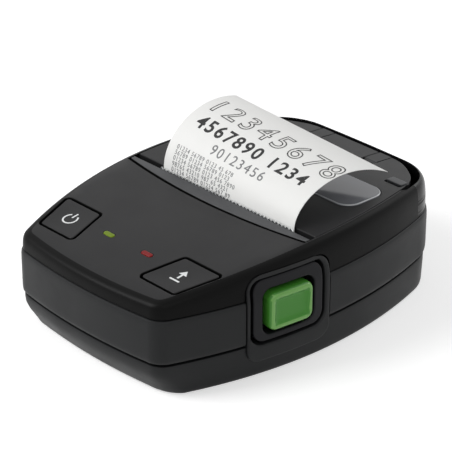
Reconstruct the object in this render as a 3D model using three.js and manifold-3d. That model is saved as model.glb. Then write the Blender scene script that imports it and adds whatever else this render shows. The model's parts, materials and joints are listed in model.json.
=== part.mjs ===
import * as THREE from 'three';
import { mergeVertices } from 'three/addons/utils/BufferGeometryUtils.js';
import Module from 'manifold-3d';

const wasm = await Module();
wasm.setup();

// Mobile receipt printer, closed, with a curled receipt standing out of its slot.
// Millimetres; +Z up, -Y the front with the keys, +X the side of the release button.

// Clearances and cutter overrun
const fit = { seat: 0.06, running: 0.08, sliding: 0.3, panel: 0.35, seam: 0.8, over: 6 };
// Walls of the mouldings
const wall = { shell: 2.1, floor: 1.8, panel: 1.8, skirt: 1.6, band: 1.95 };

// Paper feed: motor on the floor, gears leaning up to the platen, and the lid's top above it
const deg = Math.PI / 180;
const platen = { radius: 4.6, shaft: 1.5, overhang: 0.55, steps: 20 };
const gear = { face: 2, gap: 0.4, module: 0.5, platenTeeth: 20, idlerTeeth: 30, pinionTeeth: 12, hub: 1.5,
  backlash: 0.12, addendumShare: 0.9, dedendumShare: 1.15, leanDeg: 253, motorLeanDeg: 216 };
const motor = { radius: 7.5, length: 15, shaft: 0.75, foot: 1.1, steps: 28 };
const reach = (a, b) => (gear.module * (a + b)) / 2;
const upperReach = reach(gear.platenTeeth, gear.idlerTeeth);
const lowerReach = reach(gear.idlerTeeth, gear.pinionTeeth);
const motorZ = wall.floor + motor.foot + motor.radius;
const idlerZ = motorZ - lowerReach * Math.sin(gear.motorLeanDeg * deg);
platen.z = idlerZ - upperReach * Math.sin(gear.leanDeg * deg);

// Rooms around the mechanism give the case its size
const room = { front: 61.05, roll: 4.6, rear: 20.15, side: 14.3, top: 8.4, lid: 3.6 };
const topZ = platen.z + room.top;

// Receipt paper, the bucket that holds its roll, and the largest roll that fits under the lid
const paper = { width: 57.5, shift: 2.2, sheet: 0.2 };
const halfPaper = paper.width / 2;
const bucket = { clear: 0.6, wall: 1.2, startDeg: 168, endDeg: 372, side: 1.4, sideRoom: 0.55 };
const rollFoot = wall.floor + fit.sliding + bucket.wall + fit.seat;
const roll = { bore: 6.2, core: 1.3, radius: (topZ - room.lid - fit.panel - rollFoot) / 2 };
const bucketInner = roll.radius + bucket.clear;
const bucketOuter = bucketInner + bucket.wall;
const bucketZ = wall.floor + fit.sliding + bucketOuter;
const rollZ = bucketZ - bucket.clear + fit.seat;
const rearSpan = bucketOuter * 2 + room.rear + room.roll;

// Body plan: a barrel outline of five arcs a side
const body = {
  length: room.front + rearSpan, width: paper.width + room.side * 2, frontBow: 198, rearBow: 600, sideBow: 150.7,
  frontCorner: 6.5, rearCorner: 19, frontSteps: 3, cornerSteps: 4, sideSteps: 10, rearSteps: 3,
};
const half = body.length / 2;
const halfWidth = body.width / 2;
body.widestY = body.rearCorner / 24;
platen.y = room.front - half;
roll.y = platen.y + room.roll + bucketOuter;
paper.lead = platen.y - platen.radius - fit.panel;

// Heights of the tiers and of the top's long section
const tier = { parting: 11.1, bandHeight: 14.8, frontDrop: 7, rearDrop: 1.45 };
tier.step = tier.parting + tier.bandHeight;
tier.midTop = topZ;
tier.frontTop = tier.midTop - tier.frontDrop;
tier.rearTop = tier.midTop - tier.rearDrop;
// Insets of the outlines from the widest outline
const inset = {
  base: 1.5, baseRound: 1.05, baseSide: 0.9, lowerSide: 0.8, lowerTop: 0.6, lowerLip: 1,
  bandEdge: 0.65, bandSide: 0.12, skirt: 2.3, housing: 0.75, chamfer: 0.8, round: 1.05, edge: 1.75, top: 3.7,
};
// How much further the lower shell is drawn in at its front, where facing is 1
const nose = { base: 4.3, round: 4.2, side: 3.3, bulge: 1.95 };
const drawn = (depth, more) => (facing) => depth + more * facing;
const lowerHeight = { round: 0.4, side: 1.4, bulge: 4, full: 8.4 };
const bandHeight = { edge: 0.7, side: 2.6 };
const chamferShares = { low: 0.62, mid: 0.86, high: 0.96 };

// Platen arms, latch, head and chassis
const arm = { gap: 0.4, wall: 1.4, ahead: 3.8, behind: 4.2, drop: 2.9, bush: 2.5 };
arm.front = platen.y - arm.ahead;
arm.rear = platen.y + arm.behind;
const hook = { gap: 0.2, wall: 1.2, back: 9.7, drop: 4.5, shaft: 1.2, boss: 2.1, nose: 1.1 };
hook.pivotY = platen.y - hook.back;
hook.pivotZ = platen.z - hook.drop;
const head = { board: 1, sink: 1.5, height: 8.6, rise: 3.9, gap: 0.15, spring: 0.35, springWidth: 9 };
const frame = { nose: 25.2, wallBack: 11.2, wall: 1.2, deck: 3.4, rearHeight: 19, frontHeight: 24, footInset: 0.2,
  crossHeight: 20 };
frame.front = platen.y - frame.nose;
frame.wallFront = platen.y - frame.wallBack;
frame.deckZ = tier.midTop - frame.deck;
frame.rear = roll.y + bucketOuter - frame.footInset;

// Lid, hinge and window
const lid = { ahead: 4.2, rearSet: 7, gap: 0.35, edgeLow: 1.2, edgeHigh: 0.35, cutSet: 20.4, rearInset: 2.7 };
lid.front = platen.y - lid.ahead;
lid.rear = half - lid.rearSet;
lid.cutFront = half - lid.cutSet;
const hinge = { set: 10.4, sink: 2.6, pin: 1.2, knuckle: 2.5, inner: 10, width: 5, lidWidth: 4.4, gap: 0.3, drop: 0.4 };
hinge.y = half - hinge.set;
hinge.z = topAt(hinge.y) - hinge.sink;
const pane = { side: 9.6, behind: 14.95, length: 17, corner: 5.2, raise: 0.3, thick: 1.6, gap: 0.12 };
pane.halfWidth = halfWidth - pane.side;
pane.front = platen.y + pane.behind;
pane.rear = pane.front + pane.length;
const cap = { side: 4.3, width: 6.2, set: 19.5, depth: 3.2, raise: 0.35, slot: 0.9, slotDepth: 0.7 };
cap.front = half - cap.set;
cap.outer = sideAt(cap.front + cap.depth) - cap.side;
cap.inner = cap.outer - cap.width;
const rim = { set: 15.25, depth: 2.4 };
rim.front = half - rim.set;

// Slot strip between the front cover and the lid
const strip = { bow: 227, length: 4.95, gap: 6.2, foot: fit.seat };
strip.rear = platen.y - strip.gap;
strip.middle = strip.rear - strip.length;
const blade = { thick: 0.4, pitch: 1.5, tooth: 0.7, rise: 0.45, height: 2.1, gap: 0.08 };

// Keys on the front cover
const key = { set: 10.1, length: 14.65, frontSide: 12.75, rearSide: 8.35, frontWidth: 15.3, rearWidth: 15.9,
  corner: 1.2, gap: 0.5, thick: 2.2, travel: 0.6, flange: 0.6, flangeThick: 0.7 };
key.frontY = key.set - half;
key.rearY = key.frontY + key.length;
key.frontOuter = halfWidth - key.frontSide;
key.frontInner = key.frontOuter - key.frontWidth;
key.rearOuter = halfWidth - key.rearSide;
key.rearInner = key.rearOuter - key.rearWidth;
const lamp = { x: 8.5, set: 18.95, width: 3.4, depth: 1.4, raise: 0.15, gap: 0.06 };
lamp.y = lamp.set - half;
const tact = { size: 6, height: 1.6, y: (key.frontY + key.rearY) / 2, x: (key.frontOuter + key.rearInner) / 2 };
const keyBoard = { margin: 0.6, frontSet: 12.6, length: 11, drop: 3.9, thick: 1.2, ribHalf: 1.4 };
keyBoard.halfWidth = tact.x + tact.size / 2 + keyBoard.margin;
keyBoard.front = keyBoard.frontSet - half;
keyBoard.rear = keyBoard.front + keyBoard.length;
keyBoard.z = tier.frontTop - keyBoard.drop;

// Release button on the right side
const release = { back: 17.45, rise: 10.3, width: 16.4, height: 13.4, corner: 2.4, proud: 2.5, taper: 1,
  rimWidth: 1.3, dish: 0.7, sink: 4.7, flange: 1.1, flangeReach: 1.2, travel: 1.6, cornerSteps: 4 };
release.y = platen.y - release.back;
release.z = tier.parting + release.rise;
release.inner = halfWidth - release.sink;
const bezel = { border: 4.8, rim: 3.6, corner: 4, proud: 0.25, sink: 3.5, gap: 0.45, foot: 0.6 };
bezel.width = release.width + bezel.border * 2;
bezel.height = release.height + bezel.rim * 2;
bezel.inner = halfWidth - bezel.sink;
const surround = { border: 2.55, head: 0.9, foot: 5, corner: 5, proud: 0.45, topInset: 0.7, depth: 3.5 };
surround.width = bezel.width + surround.border * 2;
surround.top = release.z + bezel.height / 2 + surround.head;
const coil = { radius: 2.6, wire: 0.5, turns: 3, length: 2.7, sides: 3, steps: 10 };

// Left side port and its cover
const port = { back: 21, rise: 6.5, width: 8.6, height: 3.4, depth: 7, set: 3.3, mouth: 0.5, inner: 2.6, innerHeight: 1.4 };
port.y = platen.y - port.back;
port.z = tier.parting + port.rise;
const flap = { width: 13.4, height: 9.6, corner: 2, gap: 0.25 };

// Power, board and fasteners
const battery = { side: 2.15, frontSet: 13.4, rearBack: 21.6, height: 9.4 };
battery.halfWidth = halfPaper - battery.side;
battery.front = battery.frontSet - half;
battery.rear = platen.y - battery.rearBack;
const door = { margin: 3.1, frontMargin: 2, thick: 1.4, corner: 3, gap: 0.25, latch: 6, latchDepth: 1.6 };
door.halfWidth = battery.halfWidth - door.margin;
door.front = battery.front + door.frontMargin;
door.rear = battery.rear - door.frontMargin;
const rib = { gap: 0.5, wall: 1.2, set: 1, rearSet: 4.1, room: 1.6 };
rib.inner = battery.halfWidth + rib.gap;
rib.front = battery.front + rib.set;
rib.rear = battery.rear - rib.rearSet;
rib.top = wall.floor + battery.height + rib.room;
const board = { reach: 1, thick: 1.4 };
board.halfWidth = rib.inner + board.reach;
board.front = rib.front - rib.set * 1.5;
board.rear = rib.rear + fit.seat;
const screw = { frontX: 9, frontSet: 9.8, rearX: 12.5, head: 2.2, headThick: 1.5, shank: 1.1, length: 13,
  recess: 0.4, boss: 3.1, post: 2.6, pilot: 0.06, headGap: 0.25, slot: 0.6, slotDepth: 0.5 };
screw.frontY = screw.frontSet - half;
screw.rearY = hinge.y;
const sensor = { halfWidth: 3, depth: 2.6, height: 2.4 };

// Receipt: left and right edge of the arch
const arch = { foot: 0.7, riseSteps: 8, droopSteps: 7 };
arch.footZ = tier.midTop - arch.foot;
arch.nipZ = platen.z;
arch.left = { peakBack: 21.2, peakRise: 17.1, reach: 9.2, droop: 1.5 };
arch.right = { peakBack: 19, peakRise: 11.6, reach: 20.2, droop: 5.3 };

// Height of the top surface along the body
function topAt(y) {
  const s = (y + half) / body.length;
  return tier.frontTop * (1 - s) * (1 - 2 * s) + tier.midTop * 4 * s * (1 - s) + tier.rearTop * s * (2 * s - 1);
}

// Corner centre between two arcs, each given as centre and radius
function cornerCentre(a, ra, b, rb, radius, pick) {
  const p = ra - radius;
  const q = rb - radius;
  const dx = b[0] - a[0];
  const dy = b[1] - a[1];
  const d = Math.hypot(dx, dy);
  const along = (d * d + p * p - q * q) / (2 * d);
  const off = Math.sqrt(Math.max(p * p - along * along, 0));
  const u = [dx / d, dy / d];
  const one = [a[0] + u[0] * along - u[1] * off, a[1] + u[1] * along + u[0] * off];
  const two = [a[0] + u[0] * along + u[1] * off, a[1] + u[1] * along - u[0] * off];
  return pick(one) > pick(two) ? one : two;
}

// Right half of an outline, front centre to rear centre; depth is a number or a function of the turn to the front
function halfOutline(depth, rearY = half) {
  const sunk = (t) => (typeof depth === 'number' ? depth : depth(Math.max(-Math.sin(t), 0) ** 1.5));
  const front = [0, -half + body.frontBow];
  const rear = [0, rearY - body.rearBow];
  const side = [body.width / 2 - body.sideBow, body.widestY];
  const kf = cornerCentre(front, body.frontBow, side, body.sideBow, body.frontCorner, (p) => p[0] - p[1]);
  const kr = cornerCentre(rear, body.rearBow, side, body.sideBow, body.rearCorner, (p) => p[0] + p[1]);
  const angle = (to, from) => Math.atan2(to[1] - from[1], to[0] - from[0]);
  const arcs = [
    [front, body.frontBow, -Math.PI / 2, angle(kf, front), body.frontSteps],
    [kf, body.frontCorner, angle(kf, front), angle(kf, side), body.cornerSteps],
    [side, body.sideBow, angle(kf, side), angle(kr, side), body.sideSteps],
    [kr, body.rearCorner, angle(kr, side), angle(kr, rear), body.cornerSteps + body.cornerSteps],
    [rear, body.rearBow, angle(kr, rear), Math.PI / 2, body.rearSteps],
  ];
  const points = [];
  for (const [c, r, from, to, steps] of arcs) {
    for (let i = 0; i < steps; i += 1) {
      const t = from + ((to - from) * i) / steps;
      points.push([c[0] + (r - sunk(t)) * Math.cos(t), c[1] + (r - sunk(t)) * Math.sin(t)]);
    }
  }
  points[0][0] = 0;
  points.push([0, rearY - sunk(Math.PI / 2)]);
  return points;
}

// Half width of the body at a place along its side
function sideAt(y) {
  const r = body.sideBow;
  return body.width / 2 - r + Math.sqrt(r * r - (y - body.widestY) ** 2);
}

function toManifold(geometry) {
  const g = geometry.clone();
  g.deleteAttribute('normal');
  g.deleteAttribute('uv');
  const m = mergeVertices(g, 1e-4);
  return new wasm.Manifold(new wasm.Mesh({
    numProp: 3,
    vertProperties: new Float32Array(m.attributes.position.array),
    triVerts: new Uint32Array(m.index.array),
  }));
}

function toGeometry(manifold) {
  const m = manifold.getMesh();
  const g = new THREE.BufferGeometry();
  const positions = new Float32Array(m.numVert * 3);
  for (let i = 0; i < m.numVert; i += 1) {
    for (let k = 0; k < 3; k += 1) {
      positions[i * 3 + k] = m.vertProperties[i * m.numProp + k];
    }
  }
  g.setAttribute('position', new THREE.BufferAttribute(positions, 3));
  g.setIndex(new THREE.BufferAttribute(new Uint32Array(m.triVerts), 1));
  return g;
}

// Closed solid through stacked outlines; each level is [inset, height at y]
function stack(levels, rearY = half) {
  const rings = levels.map(([depth, height]) => {
    const right = halfOutline(depth, rearY);
    const left = right.slice(1, -1).reverse().map(([x, y]) => [-x, y]);
    return right.concat(left).map(([x, y]) => [x, y, typeof height === 'number' ? height : height(y)]);
  });
  const n = rings[0].length;
  const h = n / 2;
  const positions = rings.flat(2);
  const index = [];
  for (let k = 0; k + 1 < rings.length; k += 1) {
    for (let i = 0; i < n; i += 1) {
      const a = k * n + i;
      const b = k * n + ((i + 1) % n);
      index.push(a, b, b + n, a, b + n, a + n);
    }
  }
  const last = (rings.length - 1) * n;
  for (let i = 0; i < h; i += 1) {
    const a = i;
    const b = i + 1;
    const c = n - 1 - i;
    const d = (n - i) % n;
    if (i > 0) {
      index.push(last + a, last + b, last + d, a, d, b);
    }
    if (i < h - 1) {
      index.push(last + b, last + c, last + d, b, d, c);
    }
  }
  const g = new THREE.BufferGeometry();
  g.setAttribute('position', new THREE.BufferAttribute(new Float32Array(positions), 3));
  g.setIndex(index);
  return toManifold(g);
}

function block(x0, x1, y0, y1, z0, z1) {
  const g = new THREE.BoxGeometry(x1 - x0, y1 - y0, z1 - z0);
  g.translate((x0 + x1) / 2, (y0 + y1) / 2, (z0 + z1) / 2);
  return toManifold(g);
}

// Cylinder along X between two places
function rodX(radius, x0, x1, y, z, steps = platen.steps) {
  const g = new THREE.CylinderGeometry(radius, radius, x1 - x0, steps);
  g.rotateZ(Math.PI / 2);
  g.translate((x0 + x1) / 2, y, z);
  return toManifold(g);
}

function rodZ(radius, z0, z1, x, y, steps = platen.steps) {
  const g = new THREE.CylinderGeometry(radius, radius, z1 - z0, steps);
  g.rotateX(Math.PI / 2);
  g.translate(x, y, (z0 + z1) / 2);
  return toManifold(g);
}

// Outline in Y and Z, drawn out along X
function prismX(shape, x0, x1, curveSegments = platen.steps / 5) {
  const g = new THREE.ExtrudeGeometry(shape, { depth: x1 - x0, bevelEnabled: false, curveSegments });
  g.applyMatrix4(new THREE.Matrix4().set(0, 0, 1, x0, 1, 0, 0, 0, 0, 1, 0, 0, 0, 0, 0, 1));
  return toManifold(g);
}

// Outline in X and Y, drawn out along Z
function prismZ(shape, z0, z1, curveSegments = platen.steps / 5) {
  const g = new THREE.ExtrudeGeometry(shape, { depth: z1 - z0, bevelEnabled: false, curveSegments });
  g.translate(0, 0, z0);
  return toManifold(g);
}

function roundRect(x0, x1, y0, y1, r) {
  const s = new THREE.Shape();
  s.moveTo(x0 + r, y0);
  s.lineTo(x1 - r, y0);
  s.absarc(x1 - r, y0 + r, r, -Math.PI / 2, 0, false);
  s.lineTo(x1, y1 - r);
  s.absarc(x1 - r, y1 - r, r, 0, Math.PI / 2, false);
  s.lineTo(x0 + r, y1);
  s.absarc(x0 + r, y1 - r, r, Math.PI / 2, Math.PI, false);
  s.lineTo(x0, y0 + r);
  s.absarc(x0 + r, y0 + r, r, Math.PI, Math.PI * 1.5, false);
  return s;
}

function roundedRect(cx, cy, w, h, r) {
  return roundRect(cx - w / 2, cx + w / 2, cy - h / 2, cy + h / 2, r);
}

function polygon(points) {
  return new THREE.Shape(points.map(([x, y]) => new THREE.Vector2(x, y)));
}

const group = new THREE.Group();
function add(name, manifold, color, roughness, metalness = 0) {
  const material = new THREE.MeshStandardMaterial({ color, roughness, metalness });
  const mesh = new THREE.Mesh(toGeometry(manifold), material);
  mesh.name = name;
  group.add(mesh);
}

// Colours
const look = { shell: 0x3a3b3d, cover: 0x3c3d3f, grey: 0x5e5f61, black: 0x0c0c0d, chassis: 0x26272a,
  steel: 0xb9bcc0, board: 0x1f5c36, green: 0x4a9a35, white: 0xf4f4f2, smoke: 0x7a7c80, brass: 0xc9a24a };

// Main derived places
const mechX = paper.shift;
const sideInner = halfPaper + bucket.sideRoom;
const sideOuter = sideInner + bucket.side;
const armInner = sideOuter + arm.gap;
const armOuter = armInner + arm.wall;
const hookInner = armOuter + hook.gap;
const hookOuter = hookInner + hook.wall;
const gearInner = hookOuter + gear.gap;
const gearOuter = gearInner + gear.face;
const lowerTop = tier.parting - fit.seam / 2;
const bandFoot = tier.parting + fit.seam / 2;
const bandTop = tier.step - fit.panel;
const housingInner = inset.skirt + wall.skirt;

// Rounded block that cuts or fills the place of the release surround
function surroundBlock(grow) {
  const r = surround.corner + grow;
  const y0 = release.y - surround.width / 2 - grow;
  const y1 = release.y + surround.width / 2 + grow;
  const shape = roundRect(y0, y1, surround.foot - grow, surround.top + grow, r);
  return prismX(shape, sideAt(y0) - surround.depth - fit.over, body.width / 2 + fit.over);
}

function keyShape(side, grow) {
  const f = key.frontY - grow;
  const b = key.rearY + grow;
  const pts = [
    [key.frontInner - grow, f], [key.frontOuter + grow, f], [key.rearOuter + grow, b], [key.rearInner - grow, b],
  ];
  const c = key.corner;
  const s = new THREE.Shape();
  const ordered = side > 0 ? pts : pts.map(([x, y]) => [-x, y]).reverse();
  ordered.forEach((p, i) => {
    const before = ordered[(i + ordered.length - 1) % ordered.length];
    const after = ordered[(i + 1) % ordered.length];
    const toward = (q) => {
      const d = Math.hypot(q[0] - p[0], q[1] - p[1]);
      return [p[0] + ((q[0] - p[0]) * c) / d, p[1] + ((q[1] - p[1]) * c) / d];
    };
    const a = toward(before);
    const e = toward(after);
    if (i === 0) {
      s.moveTo(a[0], a[1]);
    } else {
      s.lineTo(a[0], a[1]);
    }
    s.quadraticCurveTo(p[0], p[1], e[0], e[1]);
  });
  return s;
}

// Slab under the top surface between two depths
function topSlab(depth, low, high) {
  return stack([[depth, (y) => topAt(y) - low], [depth, (y) => topAt(y) - high]]);
}

// Lower shell with the raised surround of the release button
const lowerOuter = stack([
  [drawn(inset.base, nose.base), 0],
  [drawn(inset.baseRound, nose.round), lowerHeight.round],
  [drawn(inset.baseSide, nose.side), lowerHeight.side],
  [drawn(inset.lowerSide, nose.bulge), lowerHeight.bulge],
  [inset.lowerTop, lowerHeight.full],
  [inset.lowerLip, lowerTop],
]);
const lowerInner = stack([
  [drawn(inset.baseSide + wall.shell, nose.side), wall.floor],
  [drawn(inset.lowerSide + wall.shell, nose.bulge), lowerHeight.bulge],
  [inset.lowerLip + wall.shell, lowerHeight.full],
  [inset.lowerLip + wall.shell, lowerTop + fit.over],
]);
const surroundSkin = stack([
  [-surround.proud + inset.lowerTop, surround.foot],
  [-surround.proud, lowerHeight.full],
  [-surround.proud, tier.step],
  [surround.topInset, surround.top],
]);
const surroundCore = stack([
  [surround.depth, surround.foot - fit.over],
  [surround.depth, surround.top + fit.over],
]);
function releasePrism(width, height, corner, x0, x1) {
  return prismX(roundedRect(release.y, release.z, width, height, corner), x0, x1);
}
const bezelHole = releasePrism(bezel.width + bezel.gap * 2, bezel.height + bezel.gap * 2, bezel.corner + bezel.gap,
  release.inner - fit.over, body.width);
const surroundPad = surroundSkin.subtract(surroundCore).intersect(surroundBlock(0)).subtract(bezelHole);
let lower = lowerOuter.subtract(lowerInner).subtract(bezelHole).add(surroundPad);
for (const side of [-1, 1]) {
  const ribX = [side * rib.inner, side * (rib.inner + rib.wall)].sort((a, b) => a - b);
  lower = lower.add(block(ribX[0], ribX[1], rib.front, rib.rear, wall.floor - fit.seat, rib.top));
  for (const [x, y] of [[screw.frontX, screw.frontY], [screw.rearX, screw.rearY]]) {
    lower = lower.add(rodZ(screw.boss, wall.floor - fit.seat, lowerTop, side * x, y));
    lower = lower.subtract(rodZ(screw.shank + fit.sliding, -fit.over, lowerTop + fit.over, side * x, y));
    const sinkTop = screw.recess + screw.headThick + fit.seat;
    lower = lower.subtract(rodZ(screw.head + screw.headGap, -fit.over, sinkTop, side * x, y));
  }
}
lower = lower.subtract(prismZ(roundRect(-door.halfWidth - door.gap, door.halfWidth + door.gap, door.front - door.gap,
  door.rear + door.gap, door.corner), -fit.over, wall.floor + fit.over));
add('lower_shell', lower, look.shell, 0.5);

// Side band between the parting line and the step
const portCut = prismX(roundedRect(port.y, port.z, flap.width + flap.gap * 2, flap.height + flap.gap * 2,
  flap.corner + flap.gap), -body.width, -sideAt(port.y) + fit.over);
const bandOuter = stack([
  [inset.bandEdge, bandFoot],
  [inset.bandSide, bandFoot + bandHeight.edge],
  [0, bandFoot + bandHeight.side],
  [0, bandTop - bandHeight.side],
  [inset.bandSide, bandTop - bandHeight.edge],
  [inset.bandEdge, bandTop],
]);
const bandInner = stack([[wall.band, bandFoot - fit.over], [wall.band, bandTop + fit.over]]);
add('bumper_band', bandOuter.subtract(bandInner).subtract(surroundBlock(fit.panel)).subtract(portCut), look.shell, 0.55);

// Upper housing: skirt, chamfered sides and front cover in one
const rise = (share) => (y) => tier.step + share * (topAt(y) - tier.step);
const housingOuter = stack([
  [inset.skirt, lowerTop + fit.seat],
  [inset.skirt, tier.step - fit.seat],
  [inset.housing, tier.step],
  [inset.chamfer, rise(chamferShares.low)],
  [inset.round, rise(chamferShares.mid)],
  [inset.edge, rise(chamferShares.high)],
  [inset.top, topAt],
]);
const under = (share) => (y) => tier.step + share * (topAt(y) - wall.panel - tier.step);
const housingHollow = stack([
  [housingInner, lowerTop - fit.over],
  [housingInner, tier.step],
  [housingInner, under(chamferShares.low)],
  [inset.top, under(1)],
]);
let housing = housingOuter.subtract(housingHollow);
for (const side of [-1, 1]) {
  const x0 = Math.min(side * hinge.inner, side * (hinge.inner + hinge.width));
  const x1 = x0 + hinge.width;
  const post = block(x0, x1, hinge.y - hinge.knuckle, half - inset.skirt - wall.skirt / 2, lowerTop + fit.seat, hinge.z);
  housing = housing.add(post).add(rodX(hinge.knuckle - hinge.drop, x0, x1, hinge.y, hinge.z));
  housing = housing.add(rodZ(screw.post, lowerTop + fit.seat, topAt(screw.frontY) - wall.panel / 2,
    side * screw.frontX, screw.frontY));
}
const lidPlan = lid.rear + inset.top + lid.gap;
const beyondCover = rodZ(strip.bow, 0, tier.midTop + fit.over, 0, strip.middle - fit.seam + strip.bow, 240);
const opening = stack([[inset.top, tier.step + fit.sliding], [inset.top, tier.midTop + fit.over]]);
housing = housing.subtract(opening.intersect(beyondCover).subtract(block(-half, half, lid.cutFront, half, 0, body.width)));
const swing = stack([[lid.rearInset, tier.step + wall.panel], [lid.rearInset, body.width]]);
const rearKeep = [-1, 1].map((side) => {
  const x0 = Math.min(side * hinge.inner, side * (hinge.inner + hinge.width));
  const keepTop = block(x0, x0 + hinge.width, hinge.y - hinge.knuckle, half, 0, hinge.z);
  return keepTop.add(rodX(hinge.knuckle - hinge.drop, x0, x0 + hinge.width, hinge.y, hinge.z));
});
let rearCut = swing.intersect(block(-half, half, lid.cutFront, half, 0, body.width));
rearCut = rearCut.subtract(rearKeep[0]).subtract(rearKeep[1]);
housing = housing.subtract(rearCut);
const rimZ = topAt(half - lid.rearInset) - rim.depth;
const rimBand = block(-half, half, rim.front, half, rimZ, body.width)
  .subtract(stack([[lid.rearInset + fit.seat, 0], [lid.rearInset + fit.seat, body.width + fit.over]]));
housing = housing.subtract(rimBand);
housing = housing.subtract(rodX(hinge.pin + fit.running, -half, half, hinge.y, hinge.z));
housing = housing.subtract(surroundBlock(fit.panel).intersect(block(sideAt(-half / 2) - surround.depth - fit.over, half,
  -half, half, 0, body.width)));
for (const side of [-1, 1]) {
  housing = housing.subtract(prismZ(keyShape(side, key.gap), tier.step, tier.midTop));
  housing = housing.subtract(prismZ(roundedRect(side * lamp.x, lamp.y, lamp.width + lamp.gap * 2,
    lamp.depth + lamp.gap * 2, lamp.depth / 2), tier.step, tier.midTop));
  for (const [x, y] of [[screw.frontX, screw.frontY], [screw.rearX, screw.rearY]]) {
    housing = housing.subtract(rodZ(screw.shank + screw.pilot, 0, screw.recess + screw.length + fit.sliding, side * x, y));
  }
}
housing = housing.add(block(-keyBoard.ribHalf, keyBoard.ribHalf, keyBoard.front + key.gap, keyBoard.rear - key.gap,
  keyBoard.z + keyBoard.thick + fit.seat, topAt(keyBoard.front) - wall.panel / 2));
const portHole = prismX(roundedRect(port.y, port.z, port.width + port.mouth * 2, port.height + port.mouth * 2,
  port.mouth), -body.width, -sideOuter - fit.sliding);
housing = housing.subtract(portHole);
add('upper_housing', housing, look.cover, 0.5);

// Black trim on the rear rim
const trimPlace = block(-half, half, rim.front + fit.seat, half, rimZ + fit.seat, body.width).subtract(swing);
add('rear_trim', housingOuter.intersect(trimPlace), look.black, 0.35);

// Chassis: roll bucket, side plates and deck
const bucketShape = new THREE.Shape();
bucketShape.absarc(roll.y, bucketZ, bucketOuter, bucket.startDeg * deg, bucket.endDeg * deg, false);
bucketShape.absarc(roll.y, bucketZ, bucketInner, bucket.endDeg * deg, bucket.startDeg * deg, true);
let chassis = prismX(bucketShape, mechX - sideOuter, mechX + sideOuter, platen.steps);
const plateFoot = wall.floor + fit.seat;
const plateShape = polygon([
  [frame.front, plateFoot], [frame.rear, plateFoot], [frame.rear, frame.rearHeight],
  [roll.y - bucketInner, frame.frontHeight], [arm.rear + arm.wall, frame.deckZ], [frame.wallFront, frame.deckZ],
  [frame.wallFront, frame.frontHeight], [frame.front, frame.frontHeight],
]);
const latchBore = rodX(hook.shaft + fit.running, -half, half, hook.pivotY, hook.pivotZ);
const shaftSlot = block(-half, half, platen.y - platen.shaft - fit.sliding, platen.y + platen.shaft + fit.sliding,
  platen.z - platen.shaft - fit.sliding, tier.midTop);
for (const side of [-1, 1]) {
  const x0 = Math.min(side * sideInner, side * sideOuter) + mechX;
  chassis = chassis.add(prismX(plateShape, x0, x0 + bucket.side).subtract(shaftSlot));
}
chassis = chassis.add(block(mechX - sideOuter, mechX + sideOuter, frame.wallFront, frame.wallFront + frame.wall,
  frame.crossHeight, frame.deckZ)).subtract(latchBore);

// Gear train: from the platen to the idler and the motor
const idlerY = platen.y + upperReach * Math.cos(gear.leanDeg * deg);
const motorY = idlerY + lowerReach * Math.cos(gear.motorLeanDeg * deg);
const idlerPin = gear.hub - fit.seat;
chassis = chassis.subtract(rodX(motor.shaft + fit.sliding, mechX - half, mechX, motorY, motorZ));
chassis = chassis.subtract(rodX(idlerPin + fit.running, mechX - half, mechX - sideInner + fit.over / 4, idlerY, idlerZ));
add('chassis', chassis, look.chassis, 0.6);

function gearSolid(teeth, bore, y, z, turn) {
  const pitchR = (gear.module * teeth) / 2;
  const tip = pitchR + gear.module * gear.addendumShare;
  const root = pitchR - gear.module * gear.dedendumShare;
  const pitch = (2 * Math.PI) / teeth;
  const slack = gear.backlash / pitchR;
  const points = [];
  for (let i = 0; i < teeth; i += 1) {
    const c = turn + i * pitch;
    for (const [r, share] of [[root, -0.36], [tip, -0.14], [tip, 0.14], [root, 0.36]]) {
      const t = c + share * pitch - Math.sign(share) * (slack / 2);
      points.push([y + r * Math.cos(t), z + r * Math.sin(t)]);
    }
  }
  const solid = prismX(polygon(points), mechX - gearOuter, mechX - gearInner);
  return bore > 0 ? solid.subtract(rodX(bore, -half, 0, y, z)) : solid;
}
const pitchOf = (teeth) => (2 * Math.PI) / teeth;
const lean = gear.leanDeg * deg;
const motorLean = gear.motorLeanDeg * deg;
const idlerTurn = lean + Math.PI + pitchOf(gear.idlerTeeth) / 2;
const toothOffset = (motorLean - idlerTurn) / pitchOf(gear.idlerTeeth);
const phase = toothOffset - Math.round(toothOffset);
const pinionTurn = motorLean + Math.PI + (0.5 + phase) * pitchOf(gear.pinionTeeth);
add('platen_gear', gearSolid(gear.platenTeeth, platen.shaft + fit.seat / 6, platen.y, platen.z, lean), look.white, 0.5);
add('idler_gear', gearSolid(gear.idlerTeeth, idlerPin + fit.running, idlerY, idlerZ, idlerTurn), look.white, 0.5);
add('idler_pin', rodX(idlerPin, mechX - gearOuter - fit.sliding, mechX - sideInner - fit.seat, idlerY, idlerZ),
  look.steel, 0.3, 0.9);
const pinion = gearSolid(gear.pinionTeeth, 0, motorY, motorZ, pinionTurn);
add('motor_pinion', pinion.add(rodX(motor.shaft, mechX - gearOuter, mechX - sideInner + fit.over / 2, motorY, motorZ)),
  look.brass, 0.35, 0.8);
const motorBody = rodX(motor.radius, mechX - sideInner + fit.seat, mechX - sideInner + motor.length, motorY, motorZ,
  motor.steps);
add('feed_motor', motorBody.subtract(rodX(motor.shaft + fit.running, -half, mechX - sideInner + fit.over,
  motorY, motorZ)), look.steel, 0.4, 0.8);

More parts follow.
